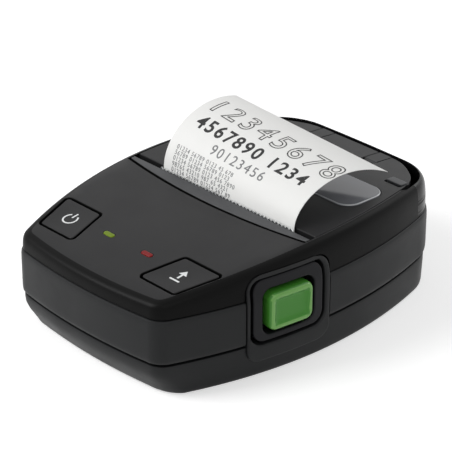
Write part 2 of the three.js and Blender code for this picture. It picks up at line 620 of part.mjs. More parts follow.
// Platen roller, shaft and bushes
const rollerHalf = halfPaper + platen.overhang - fit.running * 4;
add('platen_shaft', rodX(platen.shaft, mechX - gearOuter - fit.sliding, mechX + hookOuter + fit.sliding,
  platen.y, platen.z), look.steel, 0.3, 0.9);
add('platen_roller', rodX(platen.radius, mechX - rollerHalf, mechX + rollerHalf, platen.y, platen.z)
  .subtract(rodX(platen.shaft + fit.seat / 6, -half, half, platen.y, platen.z)), look.black, 0.8);
for (const side of [-1, 1]) {
  const x0 = Math.min(side * armInner, side * armOuter) + mechX;
  const bush = rodX(arm.bush, x0, x0 + arm.wall, platen.y, platen.z)
    .subtract(rodX(platen.shaft + fit.running, -half, half, platen.y, platen.z));
  add(side < 0 ? 'platen_bush_left' : 'platen_bush_right', bush, look.brass, 0.4, 0.8);
}

// Lid with arms for the platen and knuckles for the hinge
const lidDepth = inset.top + lid.gap;
let cover = stack([
  [lidDepth + lid.edgeHigh, (y) => topAt(y) - wall.panel],
  [lidDepth, (y) => topAt(y) - lid.edgeLow],
  [lidDepth, (y) => topAt(y) - lid.edgeHigh],
  [lidDepth + lid.edgeHigh, topAt],
], lidPlan);
cover = cover.intersect(block(-half, half, lid.front, half, 0, body.width));
for (const side of [-1, 1]) {
  const x0 = Math.min(side * armInner, side * armOuter) + mechX;
  cover = cover.add(block(x0, x0 + arm.wall, arm.front, arm.rear, platen.z - arm.drop, topAt(0) - wall.panel / 2));
  cover = cover.subtract(rodX(arm.bush + fit.seat / 6, x0 - fit.seat, x0 + arm.wall + fit.seat, platen.y, platen.z));
  const knuckleX = Math.min(side * (hinge.inner + hinge.width + hinge.gap),
    side * (hinge.inner + hinge.width + hinge.gap + hinge.lidWidth));
  cover = cover.add(rodX(hinge.knuckle, knuckleX, knuckleX + hinge.lidWidth, hinge.y, hinge.z));
  const notchX = Math.min(side * hinge.inner, side * (hinge.inner + hinge.width));
  cover = cover.subtract(block(notchX - hinge.gap, notchX + hinge.width + hinge.gap,
    hinge.y - hinge.knuckle - hinge.gap * 2, half, 0, body.width));
  const capX = Math.min(side * cap.inner, side * cap.outer);
  const capFloor = (y) => topAt(y) - cap.slotDepth;
  const slot = stack([[0, capFloor], [0, (y) => topAt(y) + fit.over]])
    .intersect(block(capX - fit.seat, capX + cap.outer - cap.inner + fit.seat, cap.front - cap.slot,
      cap.front + cap.depth + fit.seat, 0, body.width));
  cover = cover.subtract(slot);
}
cover = cover.subtract(rodX(hinge.pin + fit.running, -half, half, hinge.y, hinge.z));
const paneShape = (grow) => roundRect(-pane.halfWidth - grow, pane.halfWidth + grow, pane.front - grow,
  pane.rear + grow, pane.corner + grow);
cover = cover.subtract(prismZ(paneShape(pane.gap), 0, body.width));
add('lid', cover, look.cover, 0.5);
const paneSlab = topSlab(0, pane.thick - pane.raise, -pane.raise);
add('lid_window', paneSlab.intersect(prismZ(paneShape(0), 0, body.width)), look.smoke, 0.15);
for (const side of [-1, 1]) {
  const capX = Math.min(side * cap.inner, side * cap.outer);
  const slab = topSlab(0, cap.slotDepth - fit.seat, -cap.raise);
  add(side < 0 ? 'hinge_cap_left' : 'hinge_cap_right',
    slab.intersect(block(capX, capX + cap.outer - cap.inner, cap.front, cap.front + cap.depth, 0, body.width)),
    look.grey, 0.45);
}
add('hinge_pin', rodX(hinge.pin, -hinge.inner - hinge.width - hinge.lidWidth, hinge.inner + hinge.width + hinge.lidWidth,
  hinge.y, hinge.z), look.steel, 0.3, 0.9);

// Slot strip and cutter blade
const stripSlab = stack([[lidDepth, frame.deckZ + strip.foot], [lidDepth, topAt]]);
const stripFront = rodZ(strip.bow, 0, body.width, 0, strip.middle + strip.bow, 240);
add('slot_strip', stripSlab.intersect(stripFront).intersect(block(-half, half, -half, strip.rear, 0, body.width)),
  look.grey, 0.5);
const bladeHalf = halfPaper + platen.overhang;
const bladeTop = topAt(strip.rear) + blade.rise;
const bladePoints = [[mechX - bladeHalf, bladeTop - blade.height], [mechX + bladeHalf, bladeTop - blade.height]];
const teeth = Math.round((2 * bladeHalf) / blade.pitch);
const step = (2 * bladeHalf) / teeth;
for (let i = teeth; i > 0; i -= 1) {
  bladePoints.push([mechX - bladeHalf + i * step, bladeTop - blade.tooth]);
  bladePoints.push([mechX - bladeHalf + (i - 0.5) * step, bladeTop]);
}
bladePoints.push([mechX - bladeHalf, bladeTop - blade.tooth]);
const bladeGeometry = new THREE.ExtrudeGeometry(polygon(bladePoints), { depth: blade.thick, bevelEnabled: false });
bladeGeometry.rotateX(Math.PI / 2);
bladeGeometry.translate(0, strip.rear + blade.gap + blade.thick, 0);
add('tear_blade', toManifold(bladeGeometry), look.steel, 0.3, 0.9);

// Print head, heat sink and its leaf spring
const headY = paper.lead - head.gap;
const headFoot = platen.z - head.height + head.rise;
add('print_head', block(mechX - halfPaper, mechX + halfPaper, headY - head.board, headY, headFoot, headFoot + head.height),
  look.white, 0.4);
const sinkY = headY - head.board - fit.seat;
add('heat_sink', block(mechX - halfPaper, mechX + halfPaper, sinkY - head.sink, sinkY, headFoot, headFoot + head.height),
  look.steel, 0.45, 0.8);
const springFront = frame.wallFront + frame.wall + fit.seat;
const springRear = sinkY - head.sink - fit.seat;
const springFoot = hook.pivotZ + hook.shaft + fit.sliding;
const springTop = headFoot + head.height - fit.sliding;
const springMid = (springFoot + springTop) / 2;
const springShape = polygon([
  [springFront, springFoot], [springFront + head.spring, springFoot], [springRear, springMid],
  [springFront + head.spring, springTop], [springFront, springTop],
  [springRear - head.spring * 1.6, springMid],
]);
add('head_spring', prismX(springShape, mechX - head.springWidth / 2, mechX + head.springWidth / 2), look.steel, 0.35, 0.9);

// Latch that holds the platen shaft down
add('latch_shaft', rodX(hook.shaft, mechX - hookOuter, mechX + hookOuter, hook.pivotY, hook.pivotZ), look.steel, 0.3, 0.9);
const over = platen.z + platen.shaft + fit.running;
const noseY = platen.y - platen.shaft - fit.sliding;
const hookShape = polygon([
  [hook.pivotY - hook.boss, hook.pivotZ - hook.boss], [hook.pivotY + hook.boss, hook.pivotZ - hook.boss],
  [hook.pivotY + hook.boss, platen.z - hook.nose], [noseY, platen.z - hook.nose],
  [noseY, over], [noseY - hook.nose, over + hook.nose], [hook.pivotY, over + hook.nose],
  [hook.pivotY - hook.boss, over],
]);
for (const side of [-1, 1]) {
  const x0 = Math.min(side * hookInner, side * hookOuter) + mechX;
  add(side < 0 ? 'latch_hook_left' : 'latch_hook_right', prismX(hookShape, x0, x0 + hook.wall)
    .subtract(rodX(hook.shaft + fit.seat / 6, -half, half, hook.pivotY, hook.pivotZ)), look.chassis, 0.5);
}

// Release bezel, button and spring
const bezelSkin = stack([[-bezel.proud, 0], [-bezel.proud, tier.step], [inset.bandEdge, surround.top]]);
const bezelRing = bezelSkin.intersect(releasePrism(bezel.width, bezel.height, bezel.corner, bezel.inner, body.width))
  .add(releasePrism(bezel.width + bezel.gap * 2 - fit.seat * 2, bezel.height + bezel.gap * 2 - fit.seat * 2,
    bezel.corner + bezel.gap - fit.seat, bezel.inner, bezel.inner + bezel.foot));
add('release_bezel', bezelRing.subtract(releasePrism(release.width + fit.sliding * 2, release.height + fit.sliding * 2,
  release.corner + fit.sliding, 0, body.width)), look.black, 0.3);
const buttonFace = sideAt(release.y) + release.proud;
function rectPoints(w, h, r) {
  const points = [];
  const corners = [[w / 2 - r, h / 2 - r], [r - w / 2, h / 2 - r], [r - w / 2, r - h / 2], [w / 2 - r, r - h / 2]];
  corners.forEach(([x, y], k) => {
    for (let i = 0; i <= release.cornerSteps; i += 1) {
      const t = (k + i / release.cornerSteps) * (Math.PI / 2);
      points.push([x + r * Math.cos(t), y + r * Math.sin(t)]);
    }
  });
  return points;
}
function taperPrism(levels) {
  const rings = levels.map(([x, shrink]) => rectPoints(release.width - shrink * 2, release.height - shrink * 2,
    release.corner - Math.min(shrink, release.corner / 2)).map((p) => [x, release.y + p[0], release.z + p[1]]));
  const n = rings[0].length;
  const positions = rings.flat(2);
  positions.push(rings[0][0][0], release.y, release.z, rings[rings.length - 1][0][0], release.y, release.z);
  const low = n * rings.length;
  const index = [];
  for (let i = 0; i < n; i += 1) {
    const j = (i + 1) % n;
    for (let k = 0; k + 1 < rings.length; k += 1) {
      index.push(k * n + i, k * n + j, (k + 1) * n + j, k * n + i, (k + 1) * n + j, (k + 1) * n + i);
    }
    index.push(low, j, i, low + 1, (rings.length - 1) * n + i, (rings.length - 1) * n + j);
  }
  const g = new THREE.BufferGeometry();
  g.setAttribute('position', new THREE.BufferAttribute(new Float32Array(positions), 3));
  g.setIndex(index);
  return toManifold(g);
}
const dish = taperPrism([
  [buttonFace - release.dish, release.rimWidth + release.taper],
  [buttonFace + release.dish, release.rimWidth - release.taper / 2],
]);
const button = taperPrism([
  [release.inner, 0],
  [buttonFace - release.taper * 1.5, 0],
  [buttonFace - release.taper / 3, release.taper / 2],
  [buttonFace, release.taper],
]).add(releasePrism(release.width + release.flangeReach * 2, release.height + release.flangeReach * 2,
  release.corner + release.flangeReach, release.inner, release.inner + release.flange)).subtract(dish);
add('release_button', button, look.green, 0.35);
const helix = [];
for (let i = 0; i <= coil.turns * coil.steps; i += 1) {
  const t = (i / coil.steps) * 2 * Math.PI;
  const x = release.inner - coil.wire - fit.running - (i / (coil.turns * coil.steps)) * coil.length;
  helix.push(new THREE.Vector3(x, release.y + coil.radius * Math.cos(t), release.z + coil.radius * Math.sin(t)));
}
const wire = new THREE.Shape();
wire.absarc(0, 0, coil.wire / 2, 0, 2 * Math.PI, false);
const coilGeometry = new THREE.ExtrudeGeometry(wire, { steps: coil.turns * coil.steps, bevelEnabled: false,
  curveSegments: coil.sides, extrudePath: new THREE.CatmullRomCurve3(helix) });
add('release_spring', toManifold(coilGeometry), look.steel, 0.3, 0.9);

// Keys, switches, lamps and key board
for (const side of [-1, 1]) {
  const name = side < 0 ? 'power' : 'feed';
  const top = topSlab(inset.housing, key.thick, 0).intersect(housingOuter).intersect(prismZ(keyShape(side, 0), 0, body.width));
  const flange = topSlab(housingInner + key.flange * 2, wall.panel + fit.sliding + key.flangeThick, wall.panel + fit.sliding)
    .intersect(prismZ(keyShape(side, key.gap + key.flange), 0, body.width));
  add(`${name}_button`, top.add(flange), look.cover, 0.45);
  const base = keyBoard.z + keyBoard.thick + fit.seat;
  const size = tact.size / 2;
  add(`${name}_switch`, block(side * tact.x - size, side * tact.x + size, tact.y - size, tact.y + size, base,
    base + tact.height), look.black, 0.5);
}
for (const side of [-1, 1]) {
  const pipe = prismZ(roundedRect(side * lamp.x, lamp.y, lamp.width, lamp.depth, lamp.depth / 2),
    keyBoard.z + keyBoard.thick + fit.seat, topAt(lamp.y) + lamp.raise);
  add(side < 0 ? 'lamp_green' : 'lamp_red', pipe, side < 0 ? 0xb4c832 : 0xc02020, 0.3);
}
add('key_board', block(-keyBoard.halfWidth, keyBoard.halfWidth, keyBoard.front, keyBoard.rear, keyBoard.z,
  keyBoard.z + keyBoard.thick), look.board, 0.5);

// Main board, battery and its door
add('main_board', block(-board.halfWidth, board.halfWidth, board.front, board.rear, rib.top + fit.seat,
  rib.top + fit.seat + board.thick), look.board, 0.5);
const batteryFoot = wall.floor + fit.seat;
add('battery_pack', block(-battery.halfWidth, battery.halfWidth, battery.front, battery.rear, batteryFoot,
  batteryFoot + battery.height), look.black, 0.5);
const doorPlate = prismZ(roundRect(-door.halfWidth, door.halfWidth, door.front, door.rear, door.corner - door.gap), 0,
  door.thick);
const thumb = prismZ(roundRect(-door.latch, door.latch, door.rear - door.latch, door.rear - door.latchDepth * 2,
  door.latchDepth / 2), -fit.over, door.thick / 2);
add('battery_door', doorPlate.subtract(thumb), look.shell, 0.55);

// Port on the left side and its rubber cover
const portShell = block(-sideAt(port.y) + port.set, -sideAt(port.y) + port.set + port.depth,
  port.y - port.width / 2, port.y + port.width / 2, port.z - port.height / 2, port.z + port.height / 2);
const portBore = block(-half, -sideAt(port.y) + port.set + port.depth / 2, port.y - port.inner, port.y + port.inner,
  port.z - port.innerHeight / 2, port.z + port.innerHeight / 2);
add('usb_connector', portShell.subtract(portBore), look.steel, 0.3, 0.9);
const flapShape = prismX(roundedRect(port.y, port.z, flap.width, flap.height, flap.corner), -body.width,
  -sideAt(port.y) + fit.over);
const flapSkin = stack([[0, 0], [0, tier.step]]).subtract(stack([[wall.band, -fit.over], [wall.band, tier.step + fit.over]]));
add('port_cover', flapSkin.intersect(flapShape), look.black, 0.7);

// Paper roll, core, sensor
function ringX(outer, bore, x0, x1, y, z, steps) {
  return rodX(outer, x0, x1, y, z, steps).subtract(rodX(bore, x0 - fit.over, x1 + fit.over, y, z, steps));
}
add('paper_roll', ringX(roll.radius, roll.bore, mechX - halfPaper, mechX + halfPaper, roll.y, rollZ, 40), look.white, 0.8);
add('roll_core', ringX(roll.bore - fit.seat / 2, roll.bore - roll.core, mechX - halfPaper, mechX + halfPaper, roll.y,
  rollZ, 32), 0x9a7a55, 0.8);
add('paper_sensor', block(mechX - sensor.halfWidth, mechX + sensor.halfWidth, frame.wallFront + frame.wall + fit.seat,
  frame.wallFront + frame.wall + sensor.depth, frame.crossHeight, frame.crossHeight + sensor.height), look.black, 0.4);

// Receipt, straight through the slot and then arched back over the lid
function edgePath(edge) {
  const pts = [[paper.lead, arch.nipZ], [paper.lead, arch.footZ]];
  for (let i = 1; i <= arch.riseSteps; i += 1) {
    const t = ((Math.PI / 2) * i) / arch.riseSteps;
    pts.push([paper.lead + edge.peakBack * (1 - Math.cos(t)), arch.footZ + edge.peakRise * Math.sin(t)]);
  }
  for (let i = 1; i <= arch.droopSteps; i += 1) {
    const s = i / arch.droopSteps;
    pts.push([paper.lead + edge.peakBack + edge.reach * s, arch.footZ + edge.peakRise - edge.droop * s * s]);
  }
  return pts;
}
function thicken(path) {
  return path.map((p, i) => {
    const a = path[Math.max(i - 1, 0)];
    const b = path[Math.min(i + 1, path.length - 1)];
    const d = Math.hypot(b[0] - a[0], b[1] - a[1]);
    return [p, [p[0] + (paper.sheet * (b[1] - a[1])) / d, p[1] - (paper.sheet * (b[0] - a[0])) / d]];
  });
}
const edges = [thicken(edgePath(arch.left)), thicken(edgePath(arch.right))];
const across = 6;
const receipt = { positions: [], index: [] };
const rows = edges[0].length;
for (const face of [0, 1]) {
  for (let i = 0; i < rows; i += 1) {
    for (let j = 0; j <= across; j += 1) {
      const t = j / across;
      const l = edges[0][i][face];
      const r = edges[1][i][face];
      receipt.positions.push(mechX - halfPaper + paper.width * t, l[0] + (r[0] - l[0]) * t, l[1] + (r[1] - l[1]) * t);
    }
  }
}
const at = (face, i, j) => (face * rows + i) * (across + 1) + j;
const quad = (a, b, c, d) => receipt.index.push(a, c, b, a, d, c);
for (let i = 0; i + 1 < rows; i += 1) {
  for (let j = 0; j < across; j += 1) {
    quad(at(0, i, j), at(0, i + 1, j), at(0, i + 1, j + 1), at(0, i, j + 1));
    quad(at(1, i, j), at(1, i, j + 1), at(1, i + 1, j + 1), at(1, i + 1, j));
  }
  quad(at(0, i, 0), at(1, i, 0), at(1, i + 1, 0), at(0, i + 1, 0));
  quad(at(0, i, across), at(0, i + 1, across), at(1, i + 1, across), at(1, i, across));
}
for (let j = 0; j < across; j += 1) {
  quad(at(0, 0, j), at(0, 0, j + 1), at(1, 0, j + 1), at(1, 0, j));
  quad(at(0, rows - 1, j), at(1, rows - 1, j), at(1, rows - 1, j + 1), at(0, rows - 1, j + 1));
}
const receiptGeometry = new THREE.BufferGeometry();
receiptGeometry.setAttribute('position', new THREE.BufferAttribute(new Float32Array(receipt.positions), 3));
receiptGeometry.setIndex(receipt.index);
const receiptSolid = toManifold(receiptGeometry);
add('receipt', receiptSolid, look.white, 0.7);

// Case screws
const places = [['front_left', -screw.frontX, screw.frontY], ['front_right', screw.frontX, screw.frontY],
  ['rear_left', -screw.rearX, screw.rearY], ['rear_right', screw.rearX, screw.rearY]];
for (const [name, x, y] of places) {
  const headTop = screw.recess + screw.headThick;
  const solid = rodZ(screw.head, screw.recess, headTop, x, y)
    .add(rodZ(screw.shank, screw.recess, screw.recess + screw.length, x, y, platen.steps / 2))
    .subtract(block(x - screw.head, x + screw.head, y - screw.slot / 2, y + screw.slot / 2, 0, screw.recess + screw.slotDepth));
  add(`screw_${name}`, solid, look.steel, 0.35, 0.9);
}

export default group;
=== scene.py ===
"""Looks of a mobile receipt printer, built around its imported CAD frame.

Lengths in the shape functions are millimetres, in the frame's axes: +X the side of the
release button, +Y the lid hinge, +Z up.
"""

import json
import math

import bmesh
import bpy
import numpy as np
from bpy.props import FloatProperty, FloatVectorProperty, PointerProperty
from bpy.types import Operator, Panel, PropertyGroup
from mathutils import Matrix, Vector
from mathutils.geometry import delaunay_2d_cdt


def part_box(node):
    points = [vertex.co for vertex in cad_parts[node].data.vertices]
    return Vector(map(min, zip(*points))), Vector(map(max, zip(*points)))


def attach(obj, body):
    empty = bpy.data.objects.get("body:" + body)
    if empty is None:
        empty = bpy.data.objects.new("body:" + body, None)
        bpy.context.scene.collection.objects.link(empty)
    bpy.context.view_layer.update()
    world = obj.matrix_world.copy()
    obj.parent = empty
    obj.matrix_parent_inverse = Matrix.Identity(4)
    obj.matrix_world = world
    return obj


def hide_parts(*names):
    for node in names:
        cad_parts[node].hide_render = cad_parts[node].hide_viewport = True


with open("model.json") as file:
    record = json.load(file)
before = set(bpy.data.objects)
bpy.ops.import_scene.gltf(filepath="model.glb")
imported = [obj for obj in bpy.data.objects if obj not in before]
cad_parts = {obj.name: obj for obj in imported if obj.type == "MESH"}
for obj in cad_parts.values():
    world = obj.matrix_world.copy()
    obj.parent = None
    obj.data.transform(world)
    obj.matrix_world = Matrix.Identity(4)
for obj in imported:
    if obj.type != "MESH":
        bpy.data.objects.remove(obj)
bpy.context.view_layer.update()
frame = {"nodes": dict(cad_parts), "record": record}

bl_info = {
    "name": "Mobile receipt printer",
    "version": (1, 0, 0),
    "blender": (4, 5, 0),
    "location": "View3D > Sidebar > Printer",
    "description": "Builds the pieces and finishes of a mobile receipt printer",
    "category": "Object",
}

MM = 0.001


def linear(hex_colour):
    """sRGB hex turned to linear: c/12.92 below 0.04045, else ((c + 0.055)/1.055)^2.4."""
    value = int(hex_colour.lstrip("#"), 16)
    c = np.array([value >> 16 & 255, value >> 8 & 255, value & 255]) / 255
    return tuple(np.where(c <= 0.04045, c / 12.92, ((c + 0.055) / 1.055) ** 2.4).tolist())


def node_box(name):
    """Lowest and highest corner of a CAD node in millimetres."""
    lo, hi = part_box(name)
    return np.array(lo) / MM, np.array(hi) / MM


BAND_LO, BAND_HI = node_box("bumper_band")
# Places of the frame, in millimetres. Outline: half length and width, arcs and corner arcs
HALF, HALF_WIDTH, WIDEST_Y = 59.5078, 43.05, 0.7917
FRONT_BOW, SIDE_BOW, REAR_BOW, FRONT_CORNER, REAR_CORNER = 198.0, 150.7, 600.0, 6.5, 19.0
# Heights: the top along the middle, the shells' parting lines and the wall thickness
FRONT_TOP, MID_TOP, REAR_TOP = 29.9256, 36.9256, 35.4756
LOWER_TOP, STEP_Z, WALL = 10.7, 25.9, 1.8
BASE_CORNER, BASE_NOSE = 14, 4.3
# Strip, lid, hinge line (H_) with its posts and knuckles, hinge caps
STRIP_MIDDLE, STRIP_BOW, STRIP_REAR, STRIP_FOOT, STRIP_GAP = -9.6078, 227.0, -4.6578, -3.3, 1.1
LID_DEPTH, LID_PLAN, LID_FRONT, LID_CUT, LID_REACH = 4.05, 56.5578, -2.6578, 39.1078, 2.1
H_INNER, H_Y, H_Z = 10.0, 49.1078, 33.7383
POST_WIDTH, POST_GAP, KNUCKLE_R, KNUCKLE_WIDTH = 5, 0.3, 2.5, 4.4
CAP_IN, CAP_OUT, CAP_FRONT, CAP_DEPTH = 26.4576, 32.6576, 40.0078, 3.2
# Platen and its arms, paper and roll
ARM_IN, ARM_THICK, SHIFT, PAPER = 31.1, 1.4, 2.2, 57.5
PLATEN_Y, PLATEN_Z, PLATEN_R, SHAFT_R = 1.5422, 28.5256, 4.6, 1.52
ROLL_R, ROLL_Y, ROLL_Z = 14.8078, 22.75, 18.1678
# Window, rear trim, finger keys (K_) and lamps
PANE_HALF, PANE_FRONT, PANE_REAR, PANE_CORNER = 33.45, 16.4922, 33.4922, 5.2
TRIM_FRONT, TRIM_FOOT, TRIM_DEPTH = 44.32, 33.26, 2.75
K_FRONT, K_REAR, KEY_HOLE = -49.4078, -34.7578, 0.45
K_FRONT_IN, K_FRONT_OUT, K_REAR_IN, K_REAR_OUT = 15.0, 30.3, 18.8, 34.7
LAMP_X, LAMP_Y, LAMP_LENGTH, LAMP_WIDTH, LENS_PROUD = 8.5, -40.5578, 4.4, 1.7, 0.16
# Bezel (B_), release cap (R_) and the insets of its raised edge that gets a painted highlight, surround pad
# (S_) and its lean
B_Y, B_Z, B_HALF, B_RISE, B_GAP = -15.9078, 21.4, 12.6, 9.9, 0.9
R_HALF, R_RISE, R_Z, R_PROUD, R_FOOT = 7.9, 6.05, 20.7, 1.7, -4.6
HIGHLIGHT_FROM, HIGHLIGHT_TO = 0.35, 1.7
S_Y0, S_Y1, S_Z0, S_Z1, S_GAP, PAD_CORNER = -30.3, -0.3578, 5.0, 32.6, 0.35, 4.6
PAD_LEAN_TOP, PAD_LEAN_FOOT, BEZEL_LEAN = 1.1, 0.5, 0.9
# Port opening (P_), battery door (D_), screws and their wells
P_Y, P_Z, P_HALF, P_RISE, PORT_GAP = -19.4578, 17.6, 6.95, 5.05, 0.25
D_HALF, D_FRONT, D_REAR, DOOR_GAP, DOOR_WALL = 23.5, -44.1078, -22.0578, 0.25, 1.4
SCREWS = ((-9.0, -49.7078), (9.0, -49.7078), (-12.5, 49.1078), (12.5, 49.1078))
WELL_R, WELL_DEPTH = 2.45, 1.2
# Slip: the slot, the depth in it, the shares of the length at the slot and at the crest; then the
# back, rise, reach and droop of its left and right edge
SLIP_Y, SLIP_Z, SLIP_DEPTH, SLIP_KNEE, SLIP_CREST = -3.4078, 36.2256, 3.2, 0.045, 0.7
SLIP_LEFT, SLIP_RIGHT = (21.2, 17.1, 9.2, 1.5), (19.0, 11.6, 20.2, 5.3)
# Words, left end, distance from the slot, height, finish and whether only the outline is printed
PRINT_ROWS = (
    ("12345678", -27.4, 25.6, 7.9, "ink", True),
    ("4567890 1234", -24.4, 18.2, 4.6, "ink", False),
    ("90123456", -12.8, 12.9, 3.3, "ink_soft", False),
    *((words, -25.2, 10.0 - 1.6 * row, 1.3, "ink_soft", False) for row, words in enumerate((
        "01234 56789 0123 45 678", "56789 01234 56789 0123", "01234 56789 0123 456 7890",
        "98765 43210 987 65 4321", "01234 56789 01234 567 89", "56789 01234 5678 90123 4567",
    ))),
)
# Height of the print above the paper, and how much of a letter's own thickness is kept
PRINT_LIFT, PRINT_THICK = 0.03, 0.6
# Upper housing profile from the step to the top: inset against share of the height above the step
CHAMFER = (
    (0.55, 0.0), (0.6, 0.28), (0.72, 0.55), (1.05, 0.77), (1.65, 0.9), (2.5, 0.968), (3.4, 0.996), (3.7, 1.0)
)
# Depth from the outline up to which the cover is painted near black: painted shade and dark reflection on the
# chamfer
PAINTED_SHADE_DEPTH = 3.36


def length(label, words, value):
    """A length property in metres from a value in millimetres."""
    return FloatProperty(name=label, description=words, default=value * MM, unit="LENGTH", precision=5)


def colour(label, words, hex_colour):
    """A colour property from sRGB hex."""
    return FloatVectorProperty(
        name=label, description=words, default=linear(hex_colour), subtype="COLOR", size=3, min=0, max=1
    )


class PrinterSizes(PropertyGroup):
    """Sizes of the visible mouldings."""

    edge: length("Moulding edge", "Rounding on the edges of openings and lids", 0.28)
    key_edge: length("Key edge", "Rounding on the two finger keys", 0.35)
    key_dish: length("Key dish", "How far a finger key dips in its middle", 0.25)
    key_gap: length("Key gap", "Gap around the two finger keys", 0.85)
    slip_thickness: length("Paper thickness", "Thickness of the printed slip", 0.12)


class PrinterColours(PropertyGroup):
    """Colours of the finishes."""

    shell: colour("Shell", "Textured ABS of the lower shell and band", "#1b1c1d")
    cover: colour("Cover", "Satin ABS of the upper cover and lid", "#1e1e1f")
    strip: colour("Strip", "Lighter strip in front of the paper slot", "#47484a")
    # Near black: painted shade and dark reflection on the cover's chamfer and in its openings and gaps
    wall: colour("Cover wall", "Dark side wall and chamfer of the cover", "#070707")
    # Near black: the trim's own black, and painted shade of the rear gap and dark reflection on the rear
    # chamfer
    gloss: colour("Trim", "Black trim of the rear rim", "#0b0b0c")
    bezel: colour("Bezel", "Frame around the release button", "#19191c")
    button: colour("Release button", "Green release button", "#468f30")
    # Lighter green: a painted highlight on the button's raised edge
    button_edge: colour("Button edge", "Lighter raised edge of the release button", "#6fae4e")
    paper: colour("Paper", "Thermal paper", "#f4f4f2")
    ink: colour("Print", "Thermal print", "#161616")
    ink_soft: colour("Light print", "Lighter thermal print", "#77787a")
    sign: colour("Key signs", "Printed signs on the keys", "#e6e8e8")
    window: colour("Window", "Smoked polycarbonate of the lid window", "#797b80")
    # Light grey: a painted highlight on the window's rounded edge
    window_edge: colour("Window edge", "Bright rounded edge of the lid window", "#c4c7ca")
    lamp_ready: colour("Ready lamp", "Left lamp", "#6d8410")
    lamp_alert: colour("Alert lamp", "Right lamp", "#7d0608")


def sizes():
    """The size properties as plain millimetres, by name."""
    group = bpy.context.scene.printer_sizes
    return {k: getattr(group, k) / MM for k in PrinterSizes.__annotations__}


def tint(name):
    """A colour property as linear RGBA."""
    return (*getattr(bpy.context.scene.printer_colours, name), 1.0)


def add_node(tree, kind, settings=(), links=()):
    """Adds a node; settings are (attribute or socket, value) and links are (socket, output)."""
    node = tree.nodes.new(kind)
    for key, value in dict(settings).items():
        if isinstance(key, str) and hasattr(node, key) and key not in node.inputs:
            setattr(node, key, value)
        else:
            node.inputs[key].default_value = value
    for key, output in dict(links).items():
        tree.links.new(output, node.inputs[key])
    return node


def new_material(name, base, roughness, **shader):
    """A Principled material with constants on its own sockets; returns it, its tree and its shader."""
    material = bpy.data.materials.new(name)
    material.use_nodes = True
    tree = material.node_tree
    principled = tree.nodes["Principled BSDF"]
    principled.inputs["Base Color"].default_value = base
    principled.inputs["Roughness"].default_value = roughness
    for key, value in shader.items():
        principled.inputs[key.replace("_", " ").title().replace("Ior", "IOR")].default_value = value
    material.diffuse_color = base
    return material, tree, principled


def moulded(name, base, roughness, grain_mm, depth, spread=0.06, specular=0.5, ior=1.5):
    """Moulded plastic: spark-eroded grain of grain_mm as bump, and roughness that varies by spread."""
    material, tree, principled = new_material(name, base, roughness, specular_ior_level=specular, ior=ior)
    place = {"Vector": add_node(tree, "ShaderNodeTexCoord").outputs["Object"]}
    grain, cloud = (
        add_node(
            tree, "ShaderNodeTexNoise", {"Scale": 1 / (mm * MM), "Detail": detail, "Roughness": gain}, place
        )
        for mm, detail, gain in ((grain_mm, 3.0, 0.55), (CLOUD_MM, 4.0, 0.6))
    )
    rough = add_node(
        tree, "ShaderNodeMapRange",
        {"From Min": 0.25, "From Max": 0.75, "To Min": roughness - spread, "To Max": roughness + spread},
        {"Value": cloud.outputs["Fac"]},
    )
    bump = add_node(
        tree, "ShaderNodeBump", {"Strength": depth, "Distance": grain_mm * MM * 0.25},
        {"Height": grain.outputs["Fac"]},
    )
    tree.links.new(rough.outputs["Result"], principled.inputs["Roughness"])
    tree.links.new(bump.outputs["Normal"], principled.inputs["Normal"])
    return material


def turned_metal(name, base, roughness, line_mm):
    """Drawn or turned metal: fine lines across X as bump."""
    material, tree, principled = new_material(name, base, roughness, metallic=1.0)
    lines = add_node(
        tree, "ShaderNodeTexWave",
        {"bands_direction": "X", "Scale": 0.3 / (line_mm * MM), "Distortion": 2.0, "Detail": 2.0},
        {"Vector": add_node(tree, "ShaderNodeTexCoord").outputs["Object"]},
    )
    bump = add_node(
        tree, "ShaderNodeBump", {"Strength": 0.15, "Distance": 0.02 * MM}, {"Height": lines.outputs["Fac"]}
    )
    tree.links.new(bump.outputs["Normal"], principled.inputs["Normal"])
    return material


# Size of the soft patches in which a moulding's gloss varies
CLOUD_MM = 14
